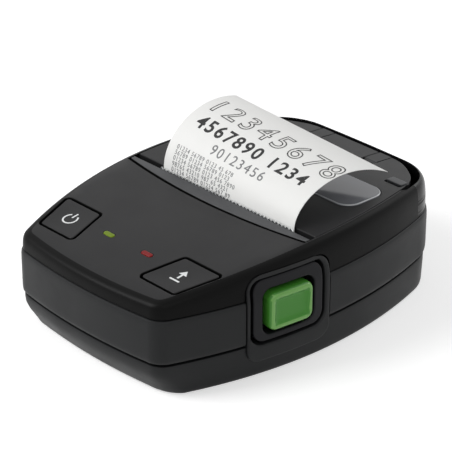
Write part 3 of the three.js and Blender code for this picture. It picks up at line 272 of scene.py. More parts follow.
# By slot: name, colour, roughness, grain in mm, depth of the grain, spread of the roughness, specular
# level and IOR
PLASTICS = {
    # ABS lower shell and band, spark-eroded mould: dull satin grey-black with a fine even grain
    "shell": ("spark_eroded_abs", "shell", 0.46, 0.32, 0.35, 0.06, 0.2),
    # ABS upper cover: smoother satin mould, slightly lighter
    "cover": ("satin_abs", "cover", 0.42, 0.26, 0.18, 0.06, 0.2),
    # ABS cover wall: the same moulding, polished and painted near black: painted shade and dark reflection on
    # the chamfer and in the openings and gaps
    "wall": ("polished_edge_abs", "wall", 0.42, 0.3, 0.1, 0.04, 0.08),
    # Grey ABS of the slot strip and the hinge caps
    "grey_plastic": ("grey_abs", "strip", 0.4, 0.26, 0.15, 0.06, 0.25),
    # Polished black ABS of the rear trim, whose near black is also painted shade of the rear gap and dark
    # reflection on the rear chamfer; and the duller bezel
    "black_gloss": ("polished_black_abs", "gloss", 0.24, 0.5, 0.05, 0.03, 0.15),
    "bezel": ("bezel_abs", "bezel", 0.36, 0.3, 0.1, 0.04, 0.15),
    "green": ("green_abs", "button", 0.3, 0.5, 0.05, 0.04, 0.3),
    # The button's raised edge is painted lighter green: a painted highlight
    "green_painted_highlight": ("green_abs_edge", "button_edge", 0.25, 0.5, 0.05, 0.04, 0.5, 1.53),
    "paper": ("thermal_paper", "paper", 0.62, 0.18, 0.12, 0.05),
    # Thermal print: dark where fully heated, grey in the lighter rows
    "ink": ("thermal_print", "ink", 0.6, 0.18, 0.1, 0.05),
    "ink_soft": ("light_thermal_print", "ink_soft", 0.6, 0.18, 0.1, 0.05),
    "sign": ("pad_print", "sign", 0.45, 0.2, 0.05, 0.03),
    # Inner pieces: nylon chassis, rubber, acetal gears, head, card core, boards, battery
    "frame_plastic": ("glass_filled_nylon", (0.018, 0.018, 0.02, 1), 0.55, 0.4, 0.3),
    "rubber": ("silicone_rubber", (0.012, 0.012, 0.013, 1), 0.62, 0.25, 0.2),
    "gear_plastic": ("acetal", (0.75, 0.74, 0.7, 1), 0.38, 0.5, 0.1),
    "ceramic": ("alumina_glaze", (0.55, 0.52, 0.45, 1), 0.2, 0.5, 0.05),
    "card": ("wound_card", (0.33, 0.22, 0.13, 1), 0.8, 0.3, 0.4),
    "circuit_board": ("solder_mask", (0.015, 0.12, 0.05, 1), 0.3, 1.2, 0.2),
    "battery": ("battery_wrap", (0.02, 0.022, 0.03, 1), 0.35, 2.0, 0.1),
    # Smoked polycarbonate; its rounded edge is painted light grey as a painted highlight
    "window": ("smoked_polycarbonate", "window", 0.12, 0.8, 0.02, 0.02, 0.5, 1.58),
    "window_edge": ("polycarbonate_edge", "window_edge", 0.2, 0.8, 0.02, 0.02, 0.5, 1.58),
    # Tinted acrylic lamp lenses, unlit
    "lamp_green": ("lamp_lens_ready", "lamp_ready", 0.3, 0.5, 0.05, 0.03, 0.2),
    "lamp_red": ("lamp_lens_alert", "lamp_alert", 0.3, 0.5, 0.05, 0.03, 0.2),
}
# By slot: name, colour, roughness and distance of the lines in mm
METALS = {
    "steel": ("drawn_steel", (0.56, 0.57, 0.58, 1), 0.28, 0.3),
    "heat_sink": ("anodised_aluminium", (0.62, 0.63, 0.65, 1), 0.4, 0.4),
    "brass": ("sintered_brass", (0.72, 0.5, 0.2, 1), 0.35, 0.3),
}


def finishes():
    """Every finish by the name of its material slot."""
    made = {slot: turned_metal(*row) for slot, row in METALS.items()}
    for slot, (name, base, *rest) in PLASTICS.items():
        made[slot] = moulded(name, tint(base) if isinstance(base, str) else base, *rest)
    return made


FINISH = {}


class PRINTER_OT_finishes(Operator):
    """Makes the finishes and gives every CAD node its own"""

    bl_idname = "printer.finishes"
    bl_label = "Finishes"

    def execute(self, context):
        FINISH.update(finishes())
        slots = {part["node"]: part["material_slot"] for part in frame["record"]["subparts"]}
        for name, obj in frame["nodes"].items():
            obj.data.materials.clear()
            obj.data.materials.append(FINISH[slots[name]])
        return {"FINISHED"}


# Shape functions. A loop is an (n, 2) array of plan points with the material on its left.


def arcs(rear_y=HALF, bend=FRONT_CORNER):
    """Right half of the outline as arcs (centre, radius, from, to, steps), front centre to rear centre.

    Each corner arc touches its two neighbours: its centre lies at radius difference from both, on
    the side that up names (-1 front, 1 rear). bend is the radius of the front corners.
    """

    def corner(a, ra, b, rb, radius, up):
        p, q = ra - radius, rb - radius
        d = math.dist(a, b)
        along = (d * d + p * p - q * q) / (2 * d)
        off = math.sqrt(max(p * p - along * along, 0))
        ux, uy = (b[0] - a[0]) / d, (b[1] - a[1]) / d
        found = [(a[0] + ux * along - s * uy * off, a[1] + uy * along + s * ux * off) for s in (1, -1)]
        return max(found, key=lambda c: c[0] + up * c[1])

    front, rear, side = (0, FRONT_BOW - HALF), (0, rear_y - REAR_BOW), (HALF_WIDTH - SIDE_BOW, WIDEST_Y)
    low = corner(front, FRONT_BOW, side, SIDE_BOW, bend, -1)
    high = corner(rear, REAR_BOW, side, SIDE_BOW, REAR_CORNER, 1)

    def turn(to, centre):
        return math.atan2(to[1] - centre[1], to[0] - centre[0])

    return (
        (front, FRONT_BOW, -math.pi / 2, turn(low, front), 36),
        (low, bend, turn(low, front), turn(low, side), 16),
        (side, SIDE_BOW, turn(low, side), turn(high, side), 90),
        (high, REAR_CORNER, turn(high, side), turn(high, rear), 34),
        (rear, REAR_BOW, turn(high, rear), math.pi / 2, 30),
    )


def plan(rear_y=HALF, bend=FRONT_CORNER):
    """Centres, radii and directions of the closed outline, counter-clockwise from the front centre."""
    centres, radii, turns = [], [], []
    for (cx, cy), r, start, end, steps in arcs(rear_y, bend):
        t = np.linspace(start, end, steps, endpoint=False)
        centres.append(np.tile((cx, cy), (steps, 1)))
        radii.append(np.full(steps, r))
        turns.append(t)
    c, r, t = np.vstack(centres), np.concatenate(radii), np.concatenate(turns)
    left = slice(None, 0, -1)
    rear = [(0, rear_y - REAR_BOW)]
    c = np.vstack([c, rear, c[left] * (-1, 1)])
    r = np.concatenate([r, [REAR_BOW], r[left]])
    t = np.concatenate([t, [math.pi / 2], math.pi - t[left]])
    return c, r, np.column_stack([np.cos(t), np.sin(t)])


def loop(depth, rear_y=HALF, bend=FRONT_CORNER):
    """The outline drawn in by depth, a number or one for each point: centre + (radius - depth) direction."""
    c, r, d = plan(rear_y, bend)
    return c + (r - depth)[:, None] * d


def drawn(depth, more, bend):
    """The outline drawn in by depth, by more at the front: depth + more max(-direction y, 0)^1.5."""
    return loop(depth + more * np.maximum(-plan(HALF, bend)[2][:, 1], 0) ** 1.5, HALF, bend)


def level(ring, z):
    """A plan loop at height z, a number or one for each point."""
    return np.column_stack([ring, np.broadcast_to(z, len(ring))])


def raised(place, ring, w):
    """A loop put on a surface by place, at height w above it."""
    return place(ring, np.full(len(ring), float(w)))


def lifted(place, rise):
    """The same placing, higher by rise."""
    return lambda uv, w: place(uv, w + rise)


def top_at(y):
    """Height of the top: the parabola through the front, middle and rear tops."""
    s = (y + HALF) / (2 * HALF)
    return FRONT_TOP * (1 - s) * (1 - 2 * s) + MID_TOP * 4 * s * (1 - s) + REAR_TOP * s * (2 * s - 1)


def side_at(y, depth):
    """Half width at y of the side arc drawn in by depth."""
    return HALF_WIDTH - SIDE_BOW + np.sqrt((SIDE_BOW - depth) ** 2 - (y - WIDEST_Y) ** 2)


def smooth(a, b, x):
    """0 below a, 1 above b, 3t^2 - 2t^3 between."""
    t = np.clip((x - a) / (b - a), 0, 1)
    return t * t * (3 - 2 * t)


def arc_line(middle, bow):
    """Line y(x) that bows to the front: middle + bow - sqrt(bow^2 - x^2)."""
    return lambda x: middle + bow - np.sqrt(bow**2 - np.asarray(x) ** 2)


def clip(points, line, step=1.5):
    """Part of a loop behind y = line(x), closed along the line."""
    off = points[:, 1] - line(points[:, 0])
    keep = off > 0
    start = int(np.nonzero(keep & ~np.roll(keep, 1))[0][0])
    order = (np.arange(len(points)) + start) % len(points)
    run = order[keep[order]]
    ends = []
    for inside, outside in ((run[0], run[0] - 1), (run[-1], (run[-1] + 1) % len(points))):
        t = off[inside] / (off[inside] - off[outside])
        ends.append(points[inside] + t * (points[outside] - points[inside]))
    first, last = ends
    n = max(int(abs(first[0] - last[0]) / step), 2)
    x = np.linspace(last[0], first[0], n + 1)
    run = points[run]
    clear = (np.linalg.norm(run - first, axis=1) > 0.5) & (np.linalg.norm(run - last, axis=1) > 0.5)
    return np.vstack([run[clear], np.column_stack([x, line(x)])])


def rounded(corners, radius, steps=6):
    """A polygon, counter-clockwise, with every corner turned into an arc of the radius."""
    corners = np.asarray(corners, float)
    out = []
    for before, p, after in zip(np.roll(corners, 1, 0), corners, np.roll(corners, -1, 0)):
        a, b = before - p, after - p
        a, b = a / np.linalg.norm(a), b / np.linalg.norm(b)
        half = math.acos(float(np.clip(a @ b, -1, 1))) / 2
        centre = p + (a + b) / np.linalg.norm(a + b) * radius / math.sin(half)
        start, end = p + a * radius / math.tan(half) - centre, p + b * radius / math.tan(half) - centre
        t0, t1 = math.atan2(start[1], start[0]), math.atan2(end[1], end[0])
        t = np.linspace(t0, t0 + (t1 - t0 + math.pi) % (2 * math.pi) - math.pi, steps + 1)
        out.append(centre + radius * np.column_stack([np.cos(t), np.sin(t)]))
    out = np.vstack(out)
    return out[np.linalg.norm(out - np.roll(out, 1, 0), axis=1) > 1e-3]


def rectangle(x0, x1, y0, y1, radius, steps=6):
    """A rounded rectangle, counter-clockwise."""
    return rounded([(x0, y0), (x1, y0), (x1, y1), (x0, y1)], radius, steps)


def about(x, y, half, rise, radius, steps=6):
    """A rounded rectangle about a centre, from its half width and half height."""
    return rectangle(x - half, x + half, y - rise, y + rise, radius, steps)


def dense(points, step=2.0):
    """A loop with points added so that none of its edges is longer than step."""
    ahead = np.roll(points, -1, 0)
    out = []
    for a, b in zip(points, ahead):
        n = max(int(math.ceil(np.linalg.norm(b - a) / step)), 1)
        out.append(a + (b - a) * (np.arange(n) / n)[:, None])
    return np.vstack(out)


def shifted(points, distance):
    """A loop moved away from its material: each point along its mitred normal."""
    edge = np.roll(points, -1, 0) - points
    edge /= np.maximum(np.linalg.norm(edge, axis=1), 1e-9)[:, None]
    normal = np.column_stack([edge[:, 1], -edge[:, 0]])
    both = normal + np.roll(normal, 1, 0)
    both /= np.maximum(np.linalg.norm(both, axis=1), 1e-9)[:, None]
    mitre = np.clip((both * normal).sum(1), 0.5, 1)
    return points + both * (distance / mitre)[:, None]


def on_top(uv, w):
    """Placing on the top surface: (u, v, w) to (u, v, top(v) + w)."""
    return np.column_stack([uv, top_at(uv[:, 1]) + w])


def on_side(side):
    """Placing on a side wall: u along the side arc, v height, w outward from it.

    Angle u / R from the widest place; x = side (c + (R + w) cos), y = y0 + side (R + w) sin.
    """

    def place(uv, w):
        t = uv[:, 0] / SIDE_BOW
        r = SIDE_BOW + w
        x = side * (HALF_WIDTH - SIDE_BOW + r * np.cos(t))
        return np.column_stack([x, WIDEST_Y + side * r * np.sin(t), uv[:, 1]])

    return place


def side_u(side, y):
    """Place along the side arc of a point at y: R asin((y - y0) / R), reversed on the left."""
    return side * SIDE_BOW * math.asin((y - WIDEST_Y) / SIDE_BOW)


def on_base(uv, w):
    """Placing on the underside: v runs to the front, w points down."""
    return np.column_stack([uv[:, 0], -uv[:, 1], -w])


def inside(points, loops):
    """True for the points within the loops by even and odd crossings."""
    hit = np.zeros(len(points), bool)
    for ring in loops:
        a, b = ring, np.roll(ring, -1, 0)
        for p, q in zip(a, b):
            if p[1] != q[1]:
                across = (p[1] > points[:, 1]) != (q[1] > points[:, 1])
                x = p[0] + (points[:, 1] - p[1]) * (q[0] - p[0]) / (q[1] - p[1])
                hit ^= across & (points[:, 0] < x)
    return hit


def within(flat, faces, fixed, loops):
    """True for the triangles between the loops, decided once for each patch that fixed edges bound."""
    fixed = {tuple(sorted(e)) for e in fixed}
    sharing = {}
    for f, tri in enumerate(faces.tolist()):
        for a, b in zip(tri, tri[1:] + tri[:1]):
            sharing.setdefault((min(a, b), max(a, b)), []).append(f)
    linked = [[] for _ in faces]
    for edge, pair in sharing.items():
        if edge not in fixed and len(pair) == 2:
            linked[pair[0]].append(pair[1])
            linked[pair[1]].append(pair[0])
    a, b, c = (flat[faces[:, k]] for k in range(3))
    area = np.abs((b - a)[:, 0] * (c - a)[:, 1] - (b - a)[:, 1] * (c - a)[:, 0])
    middle = inside((a + b + c) / 3, loops)
    keep = np.zeros(len(faces), bool)
    seen = np.zeros(len(faces), bool)
    for start in range(len(faces)):
        if not seen[start]:
            patch, queue = [], [start]
            seen[start] = True
            while queue:
                f = queue.pop()
                patch.append(f)
                for g in linked[f]:
                    if not seen[g]:
                        seen[g] = True
                        queue.append(g)
            widest = patch[int(np.argmax(area[patch]))]
            keep[patch] = middle[widest] and area[widest] > 1e-5
    return keep


# Distance in millimetres within which points are one, and the end fills' spacing that adds no inner points
WELD, PLAIN = 2e-4, 50
# Where the cutters that open a side wall start inside the case, and where they end outside it
PORT_CUT, SURROUND_CUT, CUT_END = 38, 36, 60


class Patchwork:
    """Grids and fills of one piece, welded where they meet."""

    def __init__(self):
        self.points, self.faces, self.count = [], [], 0

    def take(self, points, faces):
        self.points.append(points)
        self.faces.append(faces + self.count)
        self.count += len(points)

    def grid(self, rows, closed=True):
        """Rows of points as quads; a face looks along row step x column step."""
        rows = np.asarray(rows, float)
        r, n = rows.shape[:2]
        i, j = np.meshgrid(np.arange(r - 1), np.arange(n if closed else n - 1), indexing="ij")
        k = (j + 1) % n
        quads = np.stack([i * n + j, (i + 1) * n + j, (i + 1) * n + k, i * n + k], -1).reshape(-1, 4)
        self.take(rows.reshape(-1, 3), np.vstack([quads[:, :3], quads[:, [0, 2, 3]]]))

    def fill(self, loops, place, spacing=3.0, flip=False, heights=None):
        """Triangles between loops over a grid of inner points; heights gives loop points their places."""
        uv = np.vstack(loops)
        lo, hi = uv.min(0) + spacing / 2, uv.max(0) - spacing / 2
        gx, gy = np.meshgrid(np.arange(lo[0], hi[0], spacing), np.arange(lo[1], hi[1], spacing))
        inner = np.column_stack([gx.ravel(), gy.ravel()])
        if len(inner):
            inner = inner[inside(inner, loops)]
            if len(inner):
                near = np.min(((inner[:, None] - uv[None]) ** 2).sum(-1), axis=1)
                inner = inner[near > (spacing / 2) ** 2]
        edges, start = [], 0
        for ring in loops:
            n = len(ring)
            edges += [(start + i, start + (i + 1) % n) for i in range(n)]
            start += n
        every = np.vstack([uv, inner]) if len(inner) else uv
        found = delaunay_2d_cdt([Vector(p) for p in every], edges, [], 0, 1e-6)
        flat = np.array([tuple(p) for p in found[0]])
        faces = np.array(found[2])
        faces = faces[within(flat, faces, [e for e, old in zip(found[1], found[4]) if old], loops)]
        a, b, c = (flat[faces[:, k]] for k in range(3))
        turned = np.cross(b - a, c - a) < 0
        faces[turned] = faces[turned][:, ::-1]
        source = np.array([min(old) if len(old) else -1 for old in found[3]])
        given = source >= 0
        flat[given] = every[source[given]]
        xyz = place(flat, np.zeros(len(flat)))
        if heights is not None:
            known = np.vstack(heights)
            fixed = given & (source < len(known))
            xyz[fixed] = known[source[fixed]]
        self.take(xyz, faces[:, ::-1] if flip else faces)

    def rim(self, ring, place, top, foot, radius, steps=5, support=0.15):
        """Rounded edge and wall of a loop, top to foot; returns the loop that the fill meets."""
        flat = shifted(ring, -radius - support)
        rows = [raised(place, flat, top)]
        for a in np.linspace(0, math.pi / 2, steps + 1):
            arc = shifted(ring, radius * (math.sin(a) - 1))
            rows.append(raised(place, arc, top - radius * (1 - math.cos(a))))
        rows += [raised(place, ring, w) for w in (top - radius - support, foot)]
        self.grid(rows)
        return flat

    def add(self, other):
        """Takes in the faces of another patchwork that is whole in itself."""
        for points, faces in zip(other.points, other.faces):
            self.take(points, faces - faces.min())

    def plate(self, loops, place, top, foot, radius, spacing=3.0):
        """A closed plate with rounded upper edges: rims, an upper fill and an underside."""
        upper = [self.rim(ring, place, top, foot, radius) for ring in loops]
        self.fill(upper, lifted(place, top), spacing)
        self.fill(loops, lifted(place, foot), spacing, flip=True)

    def slab(self, ring, place, top, foot, spacing=0.8):
        """A closed thin plate with square edges."""
        self.grid([raised(place, ring, w) for w in (top, foot)])
        self.fill([ring], lifted(place, top), spacing)
        self.fill([ring], lifted(place, foot), spacing, flip=True)

    def mesh(self, name):
        """The mesh, with points closer than the weld distance made one and empty faces left out."""
        points, faces = np.vstack(self.points), np.vstack(self.faces)
        key = np.round(points / WELD).astype(np.int64)
        _, first, same = np.unique(key, axis=0, return_index=True, return_inverse=True)
        faces = same.reshape(-1)[faces]
        whole = (faces[:, 0] != faces[:, 1]) & (faces[:, 1] != faces[:, 2]) & (faces[:, 2] != faces[:, 0])
        mesh = bpy.data.meshes.new(name)
        mesh.from_pydata((points[first] * MM).tolist(), [], faces[whole].tolist())
        mesh.validate()
        return closed(mesh)


def closed(mesh):
    """Fills slits of up to six edges that the welding left and turns the faces outward."""
    form = bmesh.new()
    form.from_mesh(mesh)
    open_edges = [e for e in form.edges if e.is_boundary]
    if open_edges:
        bmesh.ops.holes_fill(form, edges=open_edges, sides=6)
        bmesh.ops.triangulate(form, faces=[f for f in form.faces if len(f.verts) > 3])
    bmesh.ops.recalc_face_normals(form, faces=form.faces)
    form.to_mesh(mesh)
    form.free()
    return mesh


def finished(name, work, finish, body, slot, *nodes, crease=32):
    """Makes the piece's object, shades it, ties it to its body and hides its CAD nodes; slot is not used."""
    mesh = work.mesh(name) if isinstance(work, Patchwork) else work
    mesh.shade_smooth()
    mesh.set_sharp_from_angle(angle=math.radians(crease))
    mesh.materials.clear()
    mesh.materials.append(FINISH[finish])
    piece = bpy.data.objects.new(name, mesh)
    bpy.context.scene.collection.objects.link(piece)
    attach(piece, body)
    if nodes:
        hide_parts(*nodes)
    return piece


def evaluated_mesh(obj):
    """A new mesh of an object as it stands after its modifiers."""
    bpy.context.view_layer.update()
    return bpy.data.meshes.new_from_object(obj.evaluated_get(bpy.context.evaluated_depsgraph_get()))


def cut(mesh, cutter):
    """The mesh less the cutter, by a boolean that is applied."""
    body = bpy.data.objects.new("cut_body", mesh)
    tool = bpy.data.objects.new("cut_tool", cutter.mesh("cut_tool"))
    for obj in (body, tool):
        bpy.context.scene.collection.objects.link(obj)
    step = body.modifiers.new("cut", "BOOLEAN")
    step.operation, step.solver, step.object = "DIFFERENCE", "MANIFOLD", tool
    result = evaluated_mesh(body)
    for obj in (body, tool):
        bpy.data.objects.remove(obj)
    return result


def prism_x(ring, x0, x1):
    """A prism along +X of a loop drawn in Y and Z."""
    work = Patchwork()
    work.slab(ring, lambda uv, w: np.column_stack([w, uv]), top=x1, foot=x0, spacing=PLAIN)
    return work


def tinted(piece, finish, chosen):
    """Gives a second finish to the faces for which chosen(centre in mm, normal) holds."""
    mesh = piece.data
    mesh.materials.append(FINISH[finish])
    centre, normal = np.empty(len(mesh.polygons) * 3), np.empty(len(mesh.polygons) * 3)
    mesh.polygons.foreach_get("center", centre)
    mesh.polygons.foreach_get("normal", normal)
    index = chosen(centre.reshape(-1, 3) / MM, normal.reshape(-1, 3))
    mesh.polygons.foreach_set("material_index", index.astype(np.int32))


def shoulder(steps=4):
    """Depths and shares along the chamfer profile, a Catmull-Rom curve with steps from point to point."""
    p = np.array(CHAMFER)
    p = np.vstack([2 * p[0] - p[1], p, 2 * p[-1] - p[-2]])
    out = []
    for i in range(1, len(p) - 2):
        t = np.linspace(0, 1, steps, endpoint=False)[:, None]
        a, b, c, d = p[i - 1], p[i], p[i + 1], p[i + 2]
        square, cube = 2 * a - 5 * b + 4 * c - d, 3 * b - a - 3 * c + d
        out.append(0.5 * (2 * b + (c - a) * t + square * t**2 + cube * t**3))
    return np.vstack([*out, p[-2][None]])


PROFILE = shoulder()


def shoulder_z(depth, y):
    """Height of the housing's outer surface at a depth from the outline."""
    share = np.interp(depth, PROFILE[:, 0], PROFILE[:, 1])
    return STEP_Z + share * (top_at(y) - STEP_Z)


def lip(y):
    """Depth of the housing's upper edge: wider along the sides than behind the lid."""
    return 3.4 - 1.05 * smooth(LID_CUT - 0.6, LID_CUT + 1.2, y)


def key_loop(side, grow=0.0, radius=1.3):
    """A finger key's outline: a rounded quadrilateral, wider apart at the rear."""
    corners = [(K_FRONT_IN, K_FRONT), (K_FRONT_OUT, K_FRONT), (K_REAR_OUT, K_REAR), (K_REAR_IN, K_REAR)]
    if side < 0:
        corners = [(-x, y) for x, y in corners][::-1]
    return dense(rounded(shifted(np.array(corners), grow), radius + grow), 1.2)


def lamp_loop(side, grow=0.0):
    """A lamp's outline: a slot with round ends."""
    half, rise = (LAMP_LENGTH + grow) / 2, (LAMP_WIDTH + grow) / 2
    return about(side * LAMP_X, LAMP_Y, half, rise, rise, 8)


def opening_line():
    """Front edge of the cover's opening, a gap in front of the strip."""
    return arc_line(STRIP_MIDDLE - STRIP_GAP, STRIP_BOW)


class Step:
    """What the operators that make pieces share: they can be undone, and run only once the finishes exist"""

    bl_options = {"REGISTER", "UNDO"}

    @classmethod
    def poll(cls, context):
        return bool(FINISH)


class PRINTER_OT_lower_shell(Step, Operator):
    """Lower shell with door opening, screw holes and the release surround"""

    bl_idname = "printer.lower_shell"
    bl_label = "Lower shell"

    def execute(self, context):
        self.shell()
        self.surround()
        return {"FINISHED"}

    def shell(self):
        """Outer and inner wall, base and floor with the door's opening, and the screw wells."""
        # Rows of depth, height, more depth at the front and radius of the front corners
        outer = (
            (0.6, LOWER_TOP - 0.3, 0, FRONT_CORNER), (0.6, 9.6, 0, FRONT_CORNER), (0.62, 8, 0.1, 7),
            (0.7, 6, 0.8, 8.4), (0.8, 4, 1.9, 10.2), (0.86, 2.4, 2.8, 11.8), (0.93, 1.2, 3.4, 13),
            (1.08, 0.45, 4.0, 13.8), (1.5, 0, BASE_NOSE, BASE_CORNER),
        )
        inner = (
            (3.1, LOWER_TOP, 0, FRONT_CORNER), (3.1, 8.4, 0, 6.9), (2.95, 4, 1.9, 10.2),
            (3.4, WALL, 3.4, 12.4),
        )
        rim = ((2.7, LOWER_TOP), (1.3, LOWER_TOP), (0.9, LOWER_TOP), (0.68, LOWER_TOP - 0.1))
        rows = [level(loop(depth), z) for depth, z in rim]
        rows += [level(drawn(depth, more, bend), z) for depth, z, more, bend in outer]
        work = Patchwork()
        work.grid(rows)
        work.grid([rows[0], *(level(drawn(depth, more, bend), z) for depth, z, more, bend in inner)][::-1])
        opening = rectangle(-D_HALF - DOOR_GAP, D_HALF + DOOR_GAP, D_FRONT - DOOR_GAP, D_REAR + DOOR_GAP, 3)
        door = dense(opening, 4)[::-1]
        wells = [circle(x, y, WELL_R)[::-1] for x, y in SCREWS]
        base = [drawn(1.5, BASE_NOSE, BASE_CORNER), door, *wells]
        work.fill([(ring * (1, -1))[::-1] for ring in base], on_base, 6)
        work.fill([drawn(3.4, 3.4, 12.4), door], lambda uv, w: level(uv, WALL), 6)
        for ring, top in ((door, WALL), *((well, WELL_DEPTH) for well in wells)):
            work.grid([level(ring, z) for z in (top, 0)])
        for well in wells:
            work.fill([well[::-1]], lambda uv, w: level(uv, WELL_DEPTH), 2, flip=True)
        finished("lower_shell_skin", work, "shell", "case", "shell", "lower_shell")

    def surround(self):
        """The raised pad around the bezel."""
        pad = rectangle(side_u(1, S_Y0), side_u(1, S_Y1), S_Z0, S_Z1, PAD_CORNER, 10)
        u0, u1 = side_u(1, B_Y - B_HALF) - B_GAP, side_u(1, B_Y + B_HALF) + B_GAP
        hole = rectangle(u0, u1, B_Z - B_RISE - B_GAP, B_Z + B_RISE + B_GAP, PAD_CORNER, 10)

        def leaning(uv, w):
            """The pad follows the housing inwards at its top and the shell at its foot."""
            top = PAD_LEAN_TOP * smooth(STEP_Z - 2, S_Z1, uv[:, 1])
            foot = PAD_LEAN_FOOT * smooth(9, S_Z0, uv[:, 1])
            return on_side(1)(uv, w - (top + foot))

        work = Patchwork()
        work.plate([dense(pad, 1.5), dense(hole, 1.5)[::-1]], leaning, top=0.45, foot=-3.2, radius=0.7)
        finished("release_surround", work, "shell", "case", "shell", "lower_shell")


def circle(x, y, radius, steps=40):
    """A circle, counter-clockwise: (x + r cos t, y + r sin t)."""
    t = np.linspace(0, 2 * math.pi, steps, endpoint=False)
    return np.column_stack([x + radius * np.cos(t), y + radius * np.sin(t)])


class PRINTER_OT_side_band(Step, Operator):
    """Band between the parting line and the step, open at the release surround"""

    bl_idname = "printer.side_band"
    bl_label = "Side band"

    def execute(self, context):
        foot, top = BAND_LO[2], BAND_HI[2]
        curl = ((0.65, 0), (0.35, 0.18), (0.14, 0.6), (0.03, 1.4), (0, 2.6))
        section = [(depth, foot + rise) for depth, rise in curl] + [(0, (foot + top) / 2)]
        section += [(depth, top - drop) for depth, drop in curl[::-1]] + [(1.95, top), (1.95, foot)]
        ring = loop(0)
        y0, y1 = S_Y0 - S_GAP, S_Y1 + S_GAP
        gap = np.nonzero((ring[:, 0] > 20) & (ring[:, 1] > y0) & (ring[:, 1] < y1))[0]
        order = (np.arange(len(ring) - len(gap)) + gap[-1] + 1) % len(ring)
        c, r, d = plan()
        turns = [math.asin((y - WIDEST_Y) / SIDE_BOW) for y in (y1, y0)]
        ends = [np.array([math.cos(turn), math.sin(turn)]) for turn in turns]
        centre = (HALF_WIDTH - SIDE_BOW, WIDEST_Y)
        c = np.vstack([centre, c[order], centre])
        r = np.concatenate([[SIDE_BOW], r[order], [SIDE_BOW]])
        d = np.vstack([ends[0], d[order], ends[1]])
        rows = [level(c + (r - depth)[:, None] * d, z) for depth, z in section]
        work = Patchwork()
        work.grid([*rows[::-1], rows[-1]], closed=False)
        for k, flip in ((0, False), (-1, True)):
            place = lambda uv, w, k=k: np.column_stack([c[k] + (r[k] - uv[:, :1]) * d[k], uv[:, 1]])
            work.fill([np.array(section)], place, PLAIN, flip=flip)
        port = prism_x(about(P_Y, P_Z, P_HALF, P_RISE, 2.2), -CUT_END, -PORT_CUT)
        finished("side_band", cut(work.mesh("side_band"), port), "shell", "case", "shell", "bumper_band")
        return {"FINISHED"}


class PRINTER_OT_upper_housing(Step, Operator):
    """Skirt, chamfered sides and front cover, with the openings for keys, lamps, strip and lid"""

    bl_idname = "printer.upper_housing"
    bl_label = "Upper housing"

    def execute(self, context):
        s = sizes()
        base = loop(0)
        limit = lip(base[:, 1])
        rows = []
        for depth in PROFILE[::-1, 0]:
            if depth < 3.6:
                at = np.minimum(depth, limit)
                ring = loop(at)
                rows.append(level(ring, shoulder_z(at, ring[:, 1])))
        foot = LOWER_TOP + 0.1
        skirt = (
            (0.55, STEP_Z + 0.3), (0.62, STEP_Z + 0.1), (0.85, STEP_Z), (2.3, STEP_Z), (2.3, foot),
            (3.9, foot), (3.9, STEP_Z - 1), (limit + 0.1, STEP_Z),
        )
        under = loop(limit + 0.1)
        low = level(under, shoulder_z(limit + 0.1, under[:, 1]) - WALL)
        work = Patchwork()
        work.grid([*rows, *(level(loop(depth), z) for depth, z in skirt), low])
        hole, hole_z = self.lid_opening(base, limit + 0.28)
        edge = level(hole, hole_z)
        work.grid([edge - (0, 0, drop) for drop in (0, 0.4, WALL)])
        small = [key_loop(side, KEY_HOLE)[::-1] for side in (-1, 1)]
        small += [lamp_loop(side, 0.1)[::-1] for side in (-1, 1)]
        flats = [work.rim(ring, on_top, top=0, foot=-WALL, radius=s["edge"]) for ring in small]
        heights = [rows[0], edge, *(raised(on_top, flat, 0) for flat in flats)]
        work.fill([loop(limit), hole, *flats], on_top, 3.0, heights=heights)
        lows = [low, edge - (0, 0, WALL), *(raised(on_top, ring, -WALL) for ring in small)]
        work.fill([under, hole, *small], lifted(on_top, -WALL), 4.0, flip=True, heights=lows)
        surround = dense(rectangle(S_Y0 - S_GAP, S_Y1 + S_GAP, S_Z0 - 9, S_Z1 + S_GAP, 4.9, 10), 2)
        mesh = cut(work.mesh("upper_cover"), prism_x(surround, SURROUND_CUT, CUT_END))
        # The chamfer, the side wall and the walls of the openings are painted near black as shade and dark
        # reflection
        tinted(finished("upper_cover", mesh, "cover", "case", "cover", "upper_housing"), "wall", self.in_painted_shade)
        self.posts()
        return {"FINISHED"}

    def lid_opening(self, base, depth):
        """The opening for strip and lid, clockwise, and its height at each point."""
        hole = clip(loop(depth), opening_line())
        half = slice(len(base) // 2 + 1)
        hole_depth = np.interp(hole[:, 1], base[half, 1], depth[half])
        on_lip = np.abs(hole[:, 1] - opening_line()(hole[:, 0])) > 1e-6
        z = np.where(on_lip, shoulder_z(hole_depth, hole[:, 1]), top_at(hole[:, 1]))
        return hole[::-1], z[::-1]

    def posts(self):
        """The two posts that hold the hinge pin, flush with the lid."""
        work = Patchwork()
        y = np.linspace(HALF - 4.9, H_Y - 1.1, 6)
        foot, front = H_Z - 20, H_Y - 2.1
        top = np.column_stack([y, top_at(y) - 0.05])
        ring = np.vstack([(front, foot), (y[0], foot), top, (front, H_Z + 1.4)])
        for side in (-1, 1):
            work.add(prism_x(ring, *sorted((side * H_INNER, side * (H_INNER + POST_WIDTH)))))
        finished("hinge_posts", work, "cover", "case", "cover", "upper_housing")

    def in_painted_shade(self, centre, normal):
        """True for the side wall and chamfer, which lie near the outline, and for the openings' walls: the
        faces that get painted shade and dark reflection.
        """
        near = ((centre[:, None, :2] - loop(0)[None]) ** 2).sum(-1).min(1)
        wall = (near < PAINTED_SHADE_DEPTH**2) & (centre[:, 2] > STEP_Z)
        return wall | ((np.abs(normal[:, 2]) < 0.8) & (centre[:, 2] > top_at(centre[:, 1]) - 2.5))


